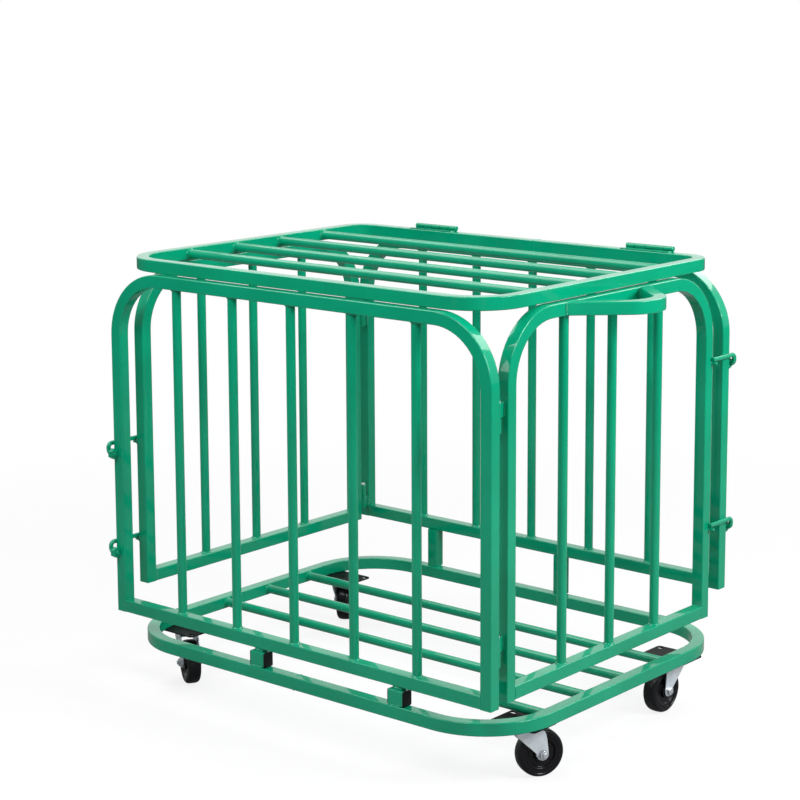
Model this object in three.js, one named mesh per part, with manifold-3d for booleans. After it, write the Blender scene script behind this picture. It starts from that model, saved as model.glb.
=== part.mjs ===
import * as THREE from 'three';
import { mergeVertices } from 'three/addons/utils/BufferGeometryUtils.js';
import Module from 'manifold-3d';

const wasm = await Module();
wasm.setup();

// Driving dimensions in millimetres. +X to the handle end, +Y to the hinged back of the lid, +Z up.
// Square tube that every frame is bent from
const tube = 22;
const tubeWall = 1.5;
const tubeChamfer = 1.8;

// Cage of four upright panels
const panelLength = 851;
const panelHeight = 620;
const cageDepthOverBase = 8;
const hingeOverhang = 6.4;
const hingeGap = 28.4;
const latchGap = 33;
const raisedBottom = 41;
const panelBend = 115;
const barDiameter = 16;
const barWall = 1.2;
const longBarPitchShare = 0.1575;
const endBarPitchShare = 0.23;
const longBarCount = 5;
const endBarCount = 3;

// Base ring that the cage stands on
const baseLength = 874;
const baseDepth = 688.6;
const baseBend = 138;
const cageShiftX = -12.6;
const cageShiftY = 8.6;
const standHeight = 32;
const standLength = 30;
const standPlaceShares = [0.4144, 0.7791];
const standNutFlats = 19;
const floorBarStartShare = 0.2187;
const floorBarPitchShare = 0.16555;
const floorBarCount = 4;
const weepDiameter = 5;

// Lid and its pair of butt hinges
const lidLeftInset = 4.5;
const lidRightInset = 15.5;
const lidFrontInset = 17;
const lidBackGap = 3.6;
const lidRestGap = 1.6;
const lidFrontBend = 90;
const lidBackBend = 52;
const lidBarStartShare = 0.2492;
const lidBarPitchShare = 0.1835;
const lidBarCount = 4;
const leafLength = 100;
const leafDepth = 19;
const leafDrop = 20;
const leafThickness = 1.3;
const barrelDiameter = 9;
const barrelPinDiameter = 5;
const barrelKnuckles = 5;
const lidHingeInsets = [198, 140];
const barrelLift = 4.2;

// Barrel hinges that carry the two end panels
const doorBarrelDiameter = 14;
const doorPinDiameter = 7;
const doorKnuckleLength = 24;
const doorHingeWeb = 6;
const doorHingeRise = 84;
const doorHingeDrop = 47;
const pinHeadDiameter = 11;
const pinHeadHeight = 3;

// Swinging latch bars on the two other corners
const latchRodDiameter = 8;
const latchNutFlats = 17;
const latchNutHeight = 8;
const latchRise = 17;
const latchReach = 62;
const latchBend = 7;
const latchRodEnd = 2;
const frontLatchHeights = [127, 308];
const backLatchRise = 168;
const backLatchDrop = 39;
const keeperDiameter = 6;
const keeperLength = 11;

// Bow handle on the right end panel
const handleReach = 95.5;
const handleCentreShare = 0.4567;
const handleFootShare = 1.089;
const handleGripShare = 0.272;
const handleBendShare = 0.66;

// Swivel casters
const casterHeight = 95;
const casterInsetX = 50;
const casterInsetY = 128;
const casterTrail = 28;
const wheelDiameter = 80;
const wheelWidth = 25;
const hubWidth = 27;
const hubDiameter = 26;
const treadCrown = 2.4;
const plateLength = 92;
const plateWidth = 65;
const plateThickness = 2.5;
const slotSpacingX = 75;
const slotSpacingY = 45;
const slotLength = 13;
const slotWidth = 8;
const raceDiameter = 48;
const raceDepth = 4.5;
const crownThickness = 2.4;
const forkThickness = 2.2;
const forkTipRadius = 10;
const axleDiameter = 8;
const axleHeadFlats = 13;
const axleHeadHeight = 5;
const kingpinDiameter = 10;
const kingpinHeadDiameter = 18;
const kingpinHeadHeight = 2.5;

// Clearances and facets
const seatGap = 0.3;
const knuckleGap = 0.4;
const pinClearance = 0.08;
const wheelClearance = 1.2;
const overrun = 5;
const bite = 0.3;
const bendSteps = 5;
const barSides = 10;
const knuckleSides = 8;
const rodSides = 8;
const latheSides = 12;
const wheelSides = 20;
const slotSegments = 3;
const forkSegments = 4;

// Sizes that follow from the ones above
const cageLength = panelLength - hingeOverhang;
const cageDepth = baseDepth + cageDepthOverBase;
const endLength = cageDepth - 2 * tube - hingeGap - latchGap;
const ringBottom = casterHeight + seatGap;
const ringTop = ringBottom + tube;
const panelBottom = ringTop + standHeight;
const panelTop = panelBottom + panelHeight;
const lidBottom = panelTop + lidRestGap;
const lidLength = panelLength - lidLeftInset - lidRightInset;
const lidDepth = cageDepth - tube - lidBackGap - lidFrontInset;
const handleCentre = handleCentreShare * endLength;
const handleFoot = handleFootShare * handleReach;
const handleGrip = handleGripShare * handleReach;
const handleBend = handleBendShare * handleReach;
const legStraight = panelHeight - panelBend;
const doorHingeHeights = [doorHingeRise, legStraight - doorHingeDrop];
const backLatchHeights = [backLatchRise, legStraight - backLatchDrop];
const halfTurn = Math.PI;
const quarterTurn = Math.PI / 2;

const materials = {
  enamel: () => new THREE.MeshStandardMaterial({ color: 0x149a6b, roughness: 0.25, metalness: 0.1 }),
  zinc: () => new THREE.MeshStandardMaterial({ color: 0xc3cfd6, roughness: 0.35, metalness: 0.9 }),
  blackened: () => new THREE.MeshStandardMaterial({ color: 0x2a2c30, roughness: 0.5, metalness: 0.6 }),
  rubber: () => new THREE.MeshStandardMaterial({ color: 0x17181b, roughness: 0.55, metalness: 0 }),
};

// A closed three.js geometry becomes a solid that can be joined and cut.
function solid(geometry) {
  geometry.deleteAttribute('normal');
  geometry.deleteAttribute('uv');
  const merged = mergeVertices(geometry);
  const vertProperties = new Float32Array(merged.attributes.position.array);
  const triVerts = new Uint32Array(merged.index.array);
  return new wasm.Manifold(new wasm.Mesh({ numProp: 3, vertProperties, triVerts }));
}

// A finished solid becomes a named mesh.
function named(name, body, material) {
  const shape = body.getMesh();
  const geometry = new THREE.BufferGeometry();
  geometry.setAttribute('position', new THREE.BufferAttribute(new Float32Array(shape.vertProperties), 3));
  geometry.setIndex(new THREE.BufferAttribute(new Uint32Array(shape.triVerts), 1));
  geometry.computeVertexNormals();
  const mesh = new THREE.Mesh(geometry, material);
  mesh.name = name;
  return mesh;
}

function placed(children, x, y, turn) {
  const group = new THREE.Group();
  group.position.set(x, y, 0);
  group.rotation.z = turn;
  children.forEach((child) => group.add(child));
  return group;
}

function blockGeometry(low, high) {
  const size = new THREE.Vector3().subVectors(high, low);
  const geometry = new THREE.BoxGeometry(size.x, size.y, size.z);
  geometry.translate((low.x + high.x) / 2, (low.y + high.y) / 2, (low.z + high.z) / 2);
  return geometry;
}

const at = (x, y, z) => new THREE.Vector3(x, y, z);
const flat = (x, y) => new THREE.Vector2(x, y);
const block = (low, high) => solid(blockGeometry(low, high));

// Prism of equal sides between two points; the radius is that of its corners.
function prism(start, end, radius, sides) {
  const along = new THREE.Vector3().subVectors(end, start);
  const geometry = new THREE.CylinderGeometry(radius, radius, along.length(), sides);
  const turn = new THREE.Quaternion().setFromUnitVectors(at(0, 1, 0), along.clone().normalize());
  geometry.applyQuaternion(turn);
  geometry.translate((start.x + end.x) / 2, (start.y + end.y) / 2, (start.z + end.z) / 2);
  return solid(geometry);
}

// Corner radius of a faceted bore whose flats clear a shaft of this radius.
const boreRadius = (shaftRadius, clearance, sides) => (shaftRadius + clearance) / Math.cos(halfTurn / sides);

// Corner radius of a hexagon from its width across flats.
const hexRadius = (flats) => flats / 2 / Math.cos(halfTurn / 6);

// A single radius serves every corner; a list gives each corner its own.
const cornerRadius = (radii, index) => (Array.isArray(radii) ? radii[index] : radii);

// Route of a bent tube or rod, in the plane or in space: straight runs joined by arcs.
function bentRoute(corners, radii, closed) {
  const route = [];
  const count = corners.length;
  corners.forEach((corner, index) => {
    if (!closed && (index === 0 || index === count - 1)) {
      route.push(corner.clone());
      return;
    }
    const radius = cornerRadius(radii, index);
    const back = corners[(index + count - 1) % count].clone().sub(corner).normalize();
    const ahead = corners[(index + 1) % count].clone().sub(corner).normalize();
    const half = Math.acos(back.dot(ahead)) / 2;
    const middle = back.clone().add(ahead).normalize();
    const centre = middle.multiplyScalar(radius / Math.sin(half)).add(corner);
    const spoke = back.clone().multiplyScalar(radius / Math.tan(half)).add(corner).sub(centre);
    for (let step = 0; step <= bendSteps; step += 1) {
      const angle = ((halfTurn - 2 * half) * step) / bendSteps;
      const sideways = back.clone().multiplyScalar(-radius * Math.sin(angle));
      route.push(spoke.clone().multiplyScalar(Math.cos(angle)).add(sideways).add(centre));
    }
  });
  return route;
}

// Line that runs beside a route at a constant distance, positive to its left.
function besideRoute(route, distance, closed) {
  const count = route.length;
  return route.map((point, index) => {
    const before = closed || index > 0 ? route[(index + count - 1) % count] : null;
    const after = closed || index < count - 1 ? route[(index + 1) % count] : null;
    const into = before ? point.clone().sub(before).normalize() : after.clone().sub(point).normalize();
    const out = after ? after.clone().sub(point).normalize() : into;
    const normal = flat(-into.y - out.y, into.x + out.x).normalize();
    const stretch = 1 / (-into.y * normal.x + into.x * normal.y);
    return normal.multiplyScalar(distance * stretch).add(point);
  });
}

// Bar of rectangular section along a route in the XY plane, standing on z = 0.
function routedBar(route, closed, width, height, chamfer) {
  const left = besideRoute(route, width / 2, closed);
  const right = besideRoute(route, -width / 2, closed);
  const shape = closed ? new THREE.Shape(right) : new THREE.Shape([...left, ...right.reverse()]);
  if (closed) {
    shape.holes.push(new THREE.Path(left));
  }
  const geometry = new THREE.ExtrudeGeometry(shape, {
    depth: height - 2 * chamfer,
    bevelEnabled: chamfer > 0,
    bevelThickness: chamfer,
    bevelSize: chamfer,
    bevelOffset: -chamfer,
    bevelSegments: 1,
  });
  geometry.translate(0, 0, chamfer);
  return geometry;
}

// Hollow square tube bent along a route. An open tube keeps its ends open.
function bentTube(corners, radii, closed, place) {
  const centreRadii = corners.map((corner, index) => Math.max(cornerRadius(radii, index) - tube / 2, 0));
  const route = bentRoute(corners, centreRadii, closed);
  const outer = routedBar(route, closed, tube, tube, tubeChamfer);
  const bore = route.map((point) => point.clone());
  if (!closed) {
    const last = bore.length - 1;
    bore[0].add(route[0].clone().sub(route[1]).setLength(overrun));
    bore[last].add(route[last].clone().sub(route[last - 1]).setLength(overrun));
  }
  const clear = tube - 2 * tubeWall;
  const inner = routedBar(bore, closed, clear, clear, 0);
  inner.translate(0, 0, tubeWall);
  place(outer);
  place(inner);
  return solid(outer).subtract(solid(inner));
}

// Places a shape drawn as (along, up) into a panel that runs along X, outer face at y = 0.
function standAlongX(geometry) {
  geometry.rotateX(quarterTurn);
  geometry.translate(0, tube, 0);
}

// Places a shape drawn as (along, up) into a panel that runs along Y, outer face at x = 0.
function standAlongY(geometry) {
  geometry.rotateX(quarterTurn);
  geometry.rotateZ(quarterTurn);
  geometry.translate(-tube, 0, 0);
}

// Inverted U of one bent tube: two legs and a top rail.
function frameHoop(length, bottom, stand) {
  const inset = tube / 2;
  const corners = [
    flat(inset, bottom),
    flat(inset, panelTop - inset),
    flat(length - inset, panelTop - inset),
    flat(length - inset, bottom),
  ];
  return bentTube(corners, panelBend, false, stand);
}

// Bottom rail with its round upright bars, welded into one grille.
function barGrille(length, bottom, pitch, count, stand, spot) {
  const railEnds = [
    flat(tube + seatGap, bottom + tube / 2),
    flat(length - tube - seatGap, bottom + tube / 2),
  ];
  const foot = bottom + tube - bite;
  const top = panelTop - tube - seatGap;
  let grille = bentTube(railEnds, 0, false, stand);
  let bores = null;
  for (let index = 0; index < count; index += 1) {
    const along = length / 2 + (index - (count - 1) / 2) * pitch;
    const [x, y] = spot(along);
    grille = grille.add(prism(at(x, y, foot), at(x, y, top), barDiameter / 2, barSides));
    const bore = prism(at(x, y, foot + bite), at(x, y, top + overrun), barDiameter / 2 - barWall, barSides);
    bores = bores ? bores.add(bore) : bore;
  }
  return grille.subtract(bores);
}

// Welded barrel knuckle with its web. The pin axis is at (x, y); the web runs to the face at webY.
function doorKnuckle(x, y, webY, low) {
  const high = low + doorKnuckleLength;
  const web = block(
    at(x - doorHingeWeb / 2, Math.min(y, webY), low),
    at(x + doorHingeWeb / 2, Math.max(y, webY), high),
  );
  return prism(at(x, y, low), at(x, y, high), doorBarrelDiameter / 2, knuckleSides).add(web);
}

function doorKnuckleBore(x, y, low) {
  const radius = boreRadius(doorPinDiameter / 2, pinClearance, knuckleSides);
  const high = low + doorKnuckleLength;
  return prism(at(x, y, low - overrun), at(x, y, high + overrun), radius, knuckleSides);
}

// Headed pin that drops through a pair of door knuckles.
function doorPin(x, y, joint) {
  const low = joint - doorKnuckleLength;
  const high = joint + knuckleGap + doorKnuckleLength + seatGap;
  const head = prism(at(x, y, high), at(x, y, high + pinHeadHeight), pinHeadDiameter / 2, knuckleSides);
  return prism(at(x, y, low), at(x, y, high + bite), doorPinDiameter / 2, knuckleSides).add(head);
}

// Long panel: hinge knuckles at its far end, nuts for the latch bars at its near end.
const longHinge = { x: cageLength - tube / 2, y: tube + hingeGap / 2 };
const latchPivotY = -latchNutFlats / 2 + bite;
const latchPlaneX = -(latchRodDiameter / 2 + seatGap);
const latchNutInset = latchPlaneX + latchBend + seatGap;

function latchNut(height) {
  const start = at(latchNutInset, latchPivotY, height - latchRise);
  const end = at(latchNutInset + latchNutHeight, latchPivotY, height - latchRise);
  return prism(start, end, hexRadius(latchNutFlats), 6);
}

function latchNutBore(height) {
  const start = at(latchNutInset - overrun, latchPivotY, height - latchRise);
  const end = at(latchNutInset + latchNutHeight + overrun, latchPivotY, height - latchRise);
  return prism(start, end, boreRadius(latchRodDiameter / 2, pinClearance, rodSides), rodSides);
}

function longFrame(bottom, latchHeights) {
  let frame = frameHoop(panelLength, bottom, standAlongX);
  doorHingeHeights.forEach((height) => {
    const low = panelBottom + height - doorKnuckleLength;
    frame = frame.add(doorKnuckle(longHinge.x, longHinge.y, tube - bite, low));
    frame = frame.subtract(doorKnuckleBore(longHinge.x, longHinge.y, low));
  });
  latchHeights.forEach((height) => {
    frame = frame.add(latchNut(panelBottom + height)).subtract(latchNutBore(panelBottom + height));
  });
  return frame;
}

// Round rod through the points of a route in space, mitred at each point.
function sweptRod(route, radius, sides) {
  const positions = [];
  const faces = [];
  const last = route.length - 1;
  let along = route[1].clone().sub(route[0]).normalize();
  const across = Math.abs(along.z) < Math.abs(along.x) ? at(0, 0, 1) : at(1, 0, 0);
  across.cross(along).normalize();
  route.forEach((point, index) => {
    const next = index < last ? route[index + 1].clone().sub(point).normalize() : along;
    const mitre = along.clone().add(next).normalize();
    const other = along.clone().cross(across);
    for (let side = 0; side < sides; side += 1) {
      const angle = (2 * halfTurn * side) / sides;
      const spoke = across.clone().multiplyScalar(radius * Math.cos(angle));
      spoke.add(other.clone().multiplyScalar(radius * Math.sin(angle)));
      spoke.addScaledVector(along, -spoke.dot(mitre) / along.dot(mitre));
      positions.push(...spoke.add(point).toArray());
      if (index < last) {
        const here = index * sides + side;
        const beside = index * sides + ((side + 1) % sides);
        faces.push(here, beside, beside + sides, here, beside + sides, here + sides);
      }
      if (index === last && side > 1) {
        faces.push(0, side, side - 1);
        faces.push(last * sides, last * sides + side - 1, last * sides + side);
      }
    }
    across.applyQuaternion(new THREE.Quaternion().setFromUnitVectors(along, next));
    along = next;
  });
  const geometry = new THREE.BufferGeometry();
  geometry.setAttribute('position', new THREE.Float32BufferAttribute(positions, 3));
  geometry.setIndex(faces);
  return solid(geometry);
}

// Bent rod that pivots in the nut, rises and lies along the corner over the keeper.
function latchBar(height) {
  const pivotZ = panelBottom + height - latchRise;
  const armZ = panelBottom + height;
  const corners = [
    at(latchNutInset + latchNutHeight + latchRodEnd, latchPivotY, pivotZ),
    at(latchPlaneX, latchPivotY, pivotZ),
    at(latchPlaneX, latchPivotY, armZ),
    at(latchPlaneX, latchReach, armZ),
  ];
  return sweptRod(bentRoute(corners, latchBend, false), latchRodDiameter / 2, rodSides);
}

// End panel: hinge knuckles on its front leg, keeper pegs for the latch bars on its back leg.
const endHinge = { x: -tube / 2, y: -hingeGap / 2 };

function keeperPeg(height) {
  const y = endLength - (latchReach - tube - latchGap) / 2;
  const z = panelBottom + height - latchRodDiameter / 2 - keeperDiameter / 2 - seatGap;
  return prism(at(-tubeWall / 2, y, z), at(keeperLength, y, z), keeperDiameter / 2, barSides);
}

function endFrame(bottom, latchHeights) {
  let frame = frameHoop(endLength, bottom, standAlongY);
  doorHingeHeights.forEach((height) => {
    const low = panelBottom + height + knuckleGap;
    frame = frame.add(doorKnuckle(endHinge.x, endHinge.y, bite, low));
    frame = frame.subtract(doorKnuckleBore(endHinge.x, endHinge.y, low));
  });
  latchHeights.forEach((height) => {
    frame = frame.add(keeperPeg(height));
  });
  return frame;
}

// Bow handle in plan, its splayed feet cut flush with the rail.
function bowHandle() {
  const gripX = handleReach - tube / 2;
  const slope = (handleFoot - handleGrip) / gripX;
  const rootX = -tube;
  const rootSpread = handleFoot - slope * rootX;
  const corners = [
    flat(rootX, handleCentre - rootSpread),
    flat(gripX, handleCentre - handleGrip),
    flat(gripX, handleCentre + handleGrip),
    flat(rootX, handleCentre + rootSpread),
  ];
  const bow = bentTube(corners, handleBend, false, (geometry) => geometry.translate(0, 0, panelTop - tube));
  const room = block(at(seatGap, 0, ringTop), at(2 * handleReach, endLength, 2 * panelTop));
  return bow.intersect(room);
}

// Closed ring of tube with round corners and a weep hole under its back rail.
function tubeRing(length, depth, frontBend, backBend, bottom) {
  const halfX = (length - tube) / 2;
  const halfY = (depth - tube) / 2;
  const corners = [flat(-halfX, -halfY), flat(halfX, -halfY), flat(halfX, halfY), flat(-halfX, halfY)];
  const bends = [frontBend, frontBend, backBend, backBend];
  const ring = bentTube(corners, bends, true, (geometry) => geometry.translate(0, 0, bottom));
  const weep = prism(at(0, halfY, bottom - overrun), at(0, halfY, bottom + tube / 2), weepDiameter / 2, rodSides);
  return ring.subtract(weep);
}

// Round cross bar cut to the inside of a ring.
function crossBar(length, depth, bend, y, z) {
  const clearX = (length - 2 * tube) / 2 - seatGap;
  const clearY = (depth - 2 * tube) / 2 - seatGap;
  const clearBend = bend - tube - seatGap;
  const corners = [flat(-clearX, -clearY), flat(clearX, -clearY), flat(clearX, clearY), flat(-clearX, clearY)];
  const room = new THREE.ExtrudeGeometry(new THREE.Shape(bentRoute(corners, clearBend, true)), {
    depth: tube,
    bevelEnabled: false,
  });
  room.translate(0, 0, z - tube / 2);
  const bar = prism(at(-length / 2, y, z), at(length / 2, y, z), barDiameter / 2, barSides);
  const bore = prism(at(-length, y, z), at(length, y, z), barDiameter / 2 - barWall, barSides);
  return bar.subtract(bore).intersect(solid(room));
}

// Short square stub with a nut on it, between the base ring and the front panel.
function frontStand(x, y) {
  const stubEnds = [flat(x - standLength / 2, y), flat(x + standLength / 2, y)];
  const stub = bentTube(stubEnds, 0, false, (geometry) => geometry.translate(0, 0, ringTop + seatGap));
  const nutLow = ringTop + seatGap + tube - bite;
  return stub.add(prism(at(x, y, nutLow), at(x, y, panelBottom - seatGap), hexRadius(standNutFlats), 6));
}

// Upright square post between the base ring and the raised back panel.
function backStand(x, y) {
  const low = ringTop + seatGap;
  const high = panelBottom + raisedBottom - seatGap;
  const post = (geometry) => {
    geometry.rotateX(quarterTurn);
    geometry.translate(x, y + tube / 2, 0);
  };
  return bentTube([flat(0, low), flat(0, high)], 0, false, post);
}

// Butt hinge leaf: a plate and its share of the barrel knuckles, every second one.
function hingeLeaf(x, axisY, axisZ, plate, first) {
  const pitch = leafLength / barrelKnuckles;
  const radius = barrelDiameter / 2;
  const clear = radius + knuckleGap;
  const roomLow = at(x - leafLength, axisY - clear, axisZ - clear);
  const roomHigh = at(x + leafLength, axisY + clear, axisZ + clear);
  let leaf = block(plate.low, plate.high).subtract(block(roomLow, roomHigh));
  for (let index = first; index < barrelKnuckles; index += 2) {
    const low = x - leafLength / 2 + index * pitch + (index > 0 ? knuckleGap / 2 : 0);
    const high = x - leafLength / 2 + (index + 1) * pitch - (index < barrelKnuckles - 1 ? knuckleGap / 2 : 0);
    const tongue = block(at(low, plate.low.y, plate.low.z), at(high, plate.high.y, plate.high.z));
    leaf = leaf.add(tongue).add(prism(at(low, axisY, axisZ), at(high, axisY, axisZ), radius, knuckleSides));
  }
  const bore = boreRadius(barrelPinDiameter / 2, pinClearance, knuckleSides);
  return leaf.subtract(prism(at(x - leafLength, axisY, axisZ), at(x + leafLength, axisY, axisZ), bore, knuckleSides));
}

// Lid hinges sit over the lid's back edge, in the cage's own frame.
const lidY = -cageDepth / 2 + lidFrontInset + lidDepth / 2;
const lidBackY = lidY + lidDepth / 2;
const lidTop = lidBottom + tube;
const backPanelFaceY = cageDepth / 2 - tube;
const barrelY = backPanelFaceY - seatGap - leafThickness / 2 + bite;
const barrelZ = lidTop + barrelLift;

function lidLeaf(x) {
  const plate = {
    low: at(x - leafLength / 2, lidBackY - leafDepth, lidTop + seatGap),
    high: at(x + leafLength / 2, barrelY, lidTop + seatGap + leafThickness),
  };
  return hingeLeaf(x, barrelY, barrelZ, plate, 1);
}

function wallLeaf(x) {
  const high = backPanelFaceY - seatGap;
  const plate = {
    low: at(x - leafLength / 2, high - leafThickness, panelTop - leafDrop),
    high: at(x + leafLength / 2, high, barrelZ),
  };
  return hingeLeaf(x, barrelY, barrelZ, plate, 0);
}

function lidHingePin(x) {
  const reach = leafLength / 2 + bite;
  return prism(at(x - reach, barrelY, barrelZ), at(x + reach, barrelY, barrelZ), barrelPinDiameter / 2, knuckleSides);
}

// Swivel caster. Each piece is drawn with the kingpin on the Z axis, the plate's top at z = 0
// and the wheel trailing along +X.
const axleZ = -(casterHeight - wheelDiameter / 2);
const raceBottom = -plateThickness - raceDepth;
const crownTop = raceBottom - seatGap;
const crownBottom = crownTop - crownThickness;
const forkInner = hubWidth / 2 + wheelClearance;
const forkOuter = forkInner + forkThickness;

function turned(profile, sides) {
  const geometry = new THREE.LatheGeometry(profile, sides);
  geometry.rotateX(quarterTurn);
  return geometry;
}

function casterPlate() {
  const low = at(-plateLength / 2, -plateWidth / 2, -plateThickness);
  let plate = block(low, at(plateLength / 2, plateWidth / 2, 0));
  const race = raceDiameter / 2;
  const profile = [
    flat(0, -plateThickness + bite),
    flat(race - raceDepth / 2, -plateThickness + bite),
    flat(race, -plateThickness - raceDepth / 2),
    flat(race - raceDepth / 2, raceBottom),
    flat(0, raceBottom),
  ];
  plate = plate.add(solid(turned(profile.reverse(), latheSides)));
  [-1, 1].forEach((sideX) => {
    [-1, 1].forEach((sideY) => {
      const slot = new THREE.Shape();
      const reach = (slotLength - slotWidth) / 2;
      slot.absarc(reach, 0, slotWidth / 2, -quarterTurn, quarterTurn, false);
      slot.absarc(-reach, 0, slotWidth / 2, quarterTurn, quarterTurn * 3, false);
      const cut = new THREE.ExtrudeGeometry(slot, {
        depth: 2 * overrun,
        bevelEnabled: false,
        curveSegments: slotSegments,
      });
      cut.translate((sideX * slotSpacingX) / 2, (sideY * slotSpacingY) / 2, -overrun);
      plate = plate.subtract(solid(cut));
    });
  });
  const bore = boreRadius(kingpinDiameter / 2, pinClearance, latheSides);
  return plate.subtract(prism(at(0, 0, raceBottom - overrun), at(0, 0, overrun), bore, latheSides));
}

// Kingpin rivet: its head carries the crown of the fork.
function kingpin() {
  const headTop = crownBottom - seatGap;
  const head = prism(at(0, 0, headTop - kingpinHeadHeight), at(0, 0, headTop), kingpinHeadDiameter / 2, latheSides);
  return prism(at(0, 0, headTop - bite), at(0, 0, 0), kingpinDiameter / 2, latheSides).add(head);
}

// One leg of the fork, drawn in XZ: a flared top that tapers to a round tip at the axle.
function forkLeg(low, high) {
  const flare = raceDiameter / 2;
  const leg = new THREE.Shape();
  leg.moveTo(-flare, crownBottom + bite);
  leg.lineTo(-flare, crownBottom - forkThickness);
  leg.bezierCurveTo(
    -flare / 3, crownBottom - forkTipRadius,
    casterTrail - 2 * forkTipRadius, axleZ / 2 + crownBottom,
    casterTrail - forkTipRadius, axleZ,
  );
  leg.absarc(casterTrail, axleZ, forkTipRadius, halfTurn, 2 * halfTurn, false);
  leg.lineTo(casterTrail + forkTipRadius / 2, crownBottom - forkThickness);
  leg.lineTo(casterTrail + forkTipRadius / 2, crownBottom + bite);
  const geometry = new THREE.ExtrudeGeometry(leg, {
    depth: high - low,
    bevelEnabled: false,
    curveSegments: forkSegments,
  });
  geometry.rotateX(quarterTurn);
  geometry.translate(0, high, 0);
  return solid(geometry);
}

function casterFork() {
  const crown = prism(at(0, 0, crownBottom), at(0, 0, crownTop), raceDiameter / 2, latheSides);
  const bridgeLow = at(-raceDiameter / 2, -forkOuter, crownBottom);
  const bridge = block(bridgeLow, at(casterTrail + forkTipRadius / 2, forkOuter, crownTop));
  const axleBore = boreRadius(axleDiameter / 2, pinClearance, latheSides);
  const kingBore = boreRadius(kingpinDiameter / 2, pinClearance, latheSides);
  return crown
    .add(bridge)
    .add(forkLeg(forkInner, forkOuter))
    .add(forkLeg(-forkOuter, -forkInner))
    .subtract(prism(at(casterTrail, -hubWidth, axleZ), at(casterTrail, hubWidth, axleZ), axleBore, latheSides))
    .subtract(prism(at(0, 0, crownBottom - overrun), at(0, 0, crownTop + overrun), kingBore, latheSides));
}

// Moulded wheel: a crowned tread, a dished web and a longer hub.
function casterWheel() {
  const rim = wheelDiameter / 2 / Math.cos(halfTurn / wheelSides);
  const halfTread = wheelWidth / 2;
  const halfHub = hubWidth / 2;
  const hub = hubDiameter / 2;
  const bore = boreRadius(axleDiameter / 2, pinClearance, wheelSides);
  const side = [
    flat(bore, halfHub),
    flat(hub, halfHub),
    flat(hub, halfTread / 2),
    flat((hub + rim) / 2, halfTread / 2),
    flat((hub + rim) / 2 + treadCrown / 2, halfTread),
    flat(rim - treadCrown, halfTread),
    flat(rim, halfTread / 2),
  ];
  const mirror = side.map((point) => flat(point.x, -point.y)).reverse();
  const profile = [...side, ...mirror, side[0]];
  const geometry = new THREE.LatheGeometry(profile.reverse(), wheelSides);
  geometry.rotateY(halfTurn / wheelSides);
  geometry.translate(casterTrail, 0, axleZ);
  return solid(geometry);
}

// Axle bolt with a hexagon head on one side and its nut on the other.
function wheelAxle() {
  const seat = forkOuter + seatGap;
  const end = seat + axleHeadHeight;
  const head = prism(at(casterTrail, seat, axleZ), at(casterTrail, end, axleZ), hexRadius(axleHeadFlats), 6);
  const nut = prism(at(casterTrail, -end, axleZ), at(casterTrail, -seat, axleZ), hexRadius(axleHeadFlats), 6);
  const thread = end + overrun / 2;
  const shaft = prism(at(casterTrail, -thread, axleZ), at(casterTrail, seat + bite, axleZ), axleDiameter / 2, latheSides);
  return shaft.add(head).add(nut);
}

// Resting directions of the four casters, in degrees from +X.
const casters = [
  { name: 'front_right', sideX: 1, sideY: -1, turn: 62 },
  { name: 'front_left', sideX: -1, sideY: -1, turn: -31 },
  { name: 'back_right', sideX: 1, sideY: 1, turn: -92 },
  { name: 'back_left', sideX: -1, sideY: 1, turn: 120 },
];

function addCasters(cart) {
  const plate = casterPlate();
  const pin = kingpin();
  const fork = casterFork();
  const wheel = casterWheel();
  const axle = wheelAxle();
  casters.forEach((caster) => {
    const x = caster.sideX * (baseLength / 2 - casterInsetX);
    const y = caster.sideY * (baseDepth / 2 - casterInsetY);
    const fixed = placed([
      named(`caster_plate_${caster.name}`, plate, materials.blackened()),
      named(`caster_kingpin_${caster.name}`, pin, materials.zinc()),
    ], x, y, 0);
    const swivel = placed([
      named(`caster_fork_${caster.name}`, fork, materials.zinc()),
      named(`caster_wheel_${caster.name}`, wheel, materials.rubber()),
      named(`caster_axle_${caster.name}`, axle, materials.zinc()),
    ], x, y, THREE.MathUtils.degToRad(caster.turn));
    fixed.position.z = casterHeight;
    swivel.position.z = casterHeight;
    cart.add(fixed);
    cart.add(swivel);
  });
}

function addBase(cart) {
  const ring = tubeRing(baseLength, baseDepth, baseBend, baseBend, ringBottom);
  cart.add(named('base_ring', ring, materials.enamel()));
  for (let index = 0; index < floorBarCount; index += 1) {
    const y = baseDepth * (floorBarStartShare + index * floorBarPitchShare - 1 / 2);
    const bar = crossBar(baseLength, baseDepth, baseBend, y, ringBottom + tube / 2);
    cart.add(named(`floor_bar_${index + 1}`, bar, materials.enamel()));
  }
  const railY = (baseDepth - tube) / 2;
  const frontY = (-railY + cageShiftY - (cageDepth - tube) / 2) / 2;
  const backY = (railY + cageShiftY + (cageDepth - tube) / 2) / 2;
  standPlaceShares.forEach((share, index) => {
    const x = cageLength * (share - 1 / 2);
    const front = frontStand(cageShiftX + x, frontY);
    const back = backStand(cageShiftX - x, backY);
    cart.add(named(`front_stand_${index + 1}`, front, materials.enamel()));
    cart.add(named(`back_stand_${index + 1}`, back, materials.enamel()));
  });
}

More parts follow.
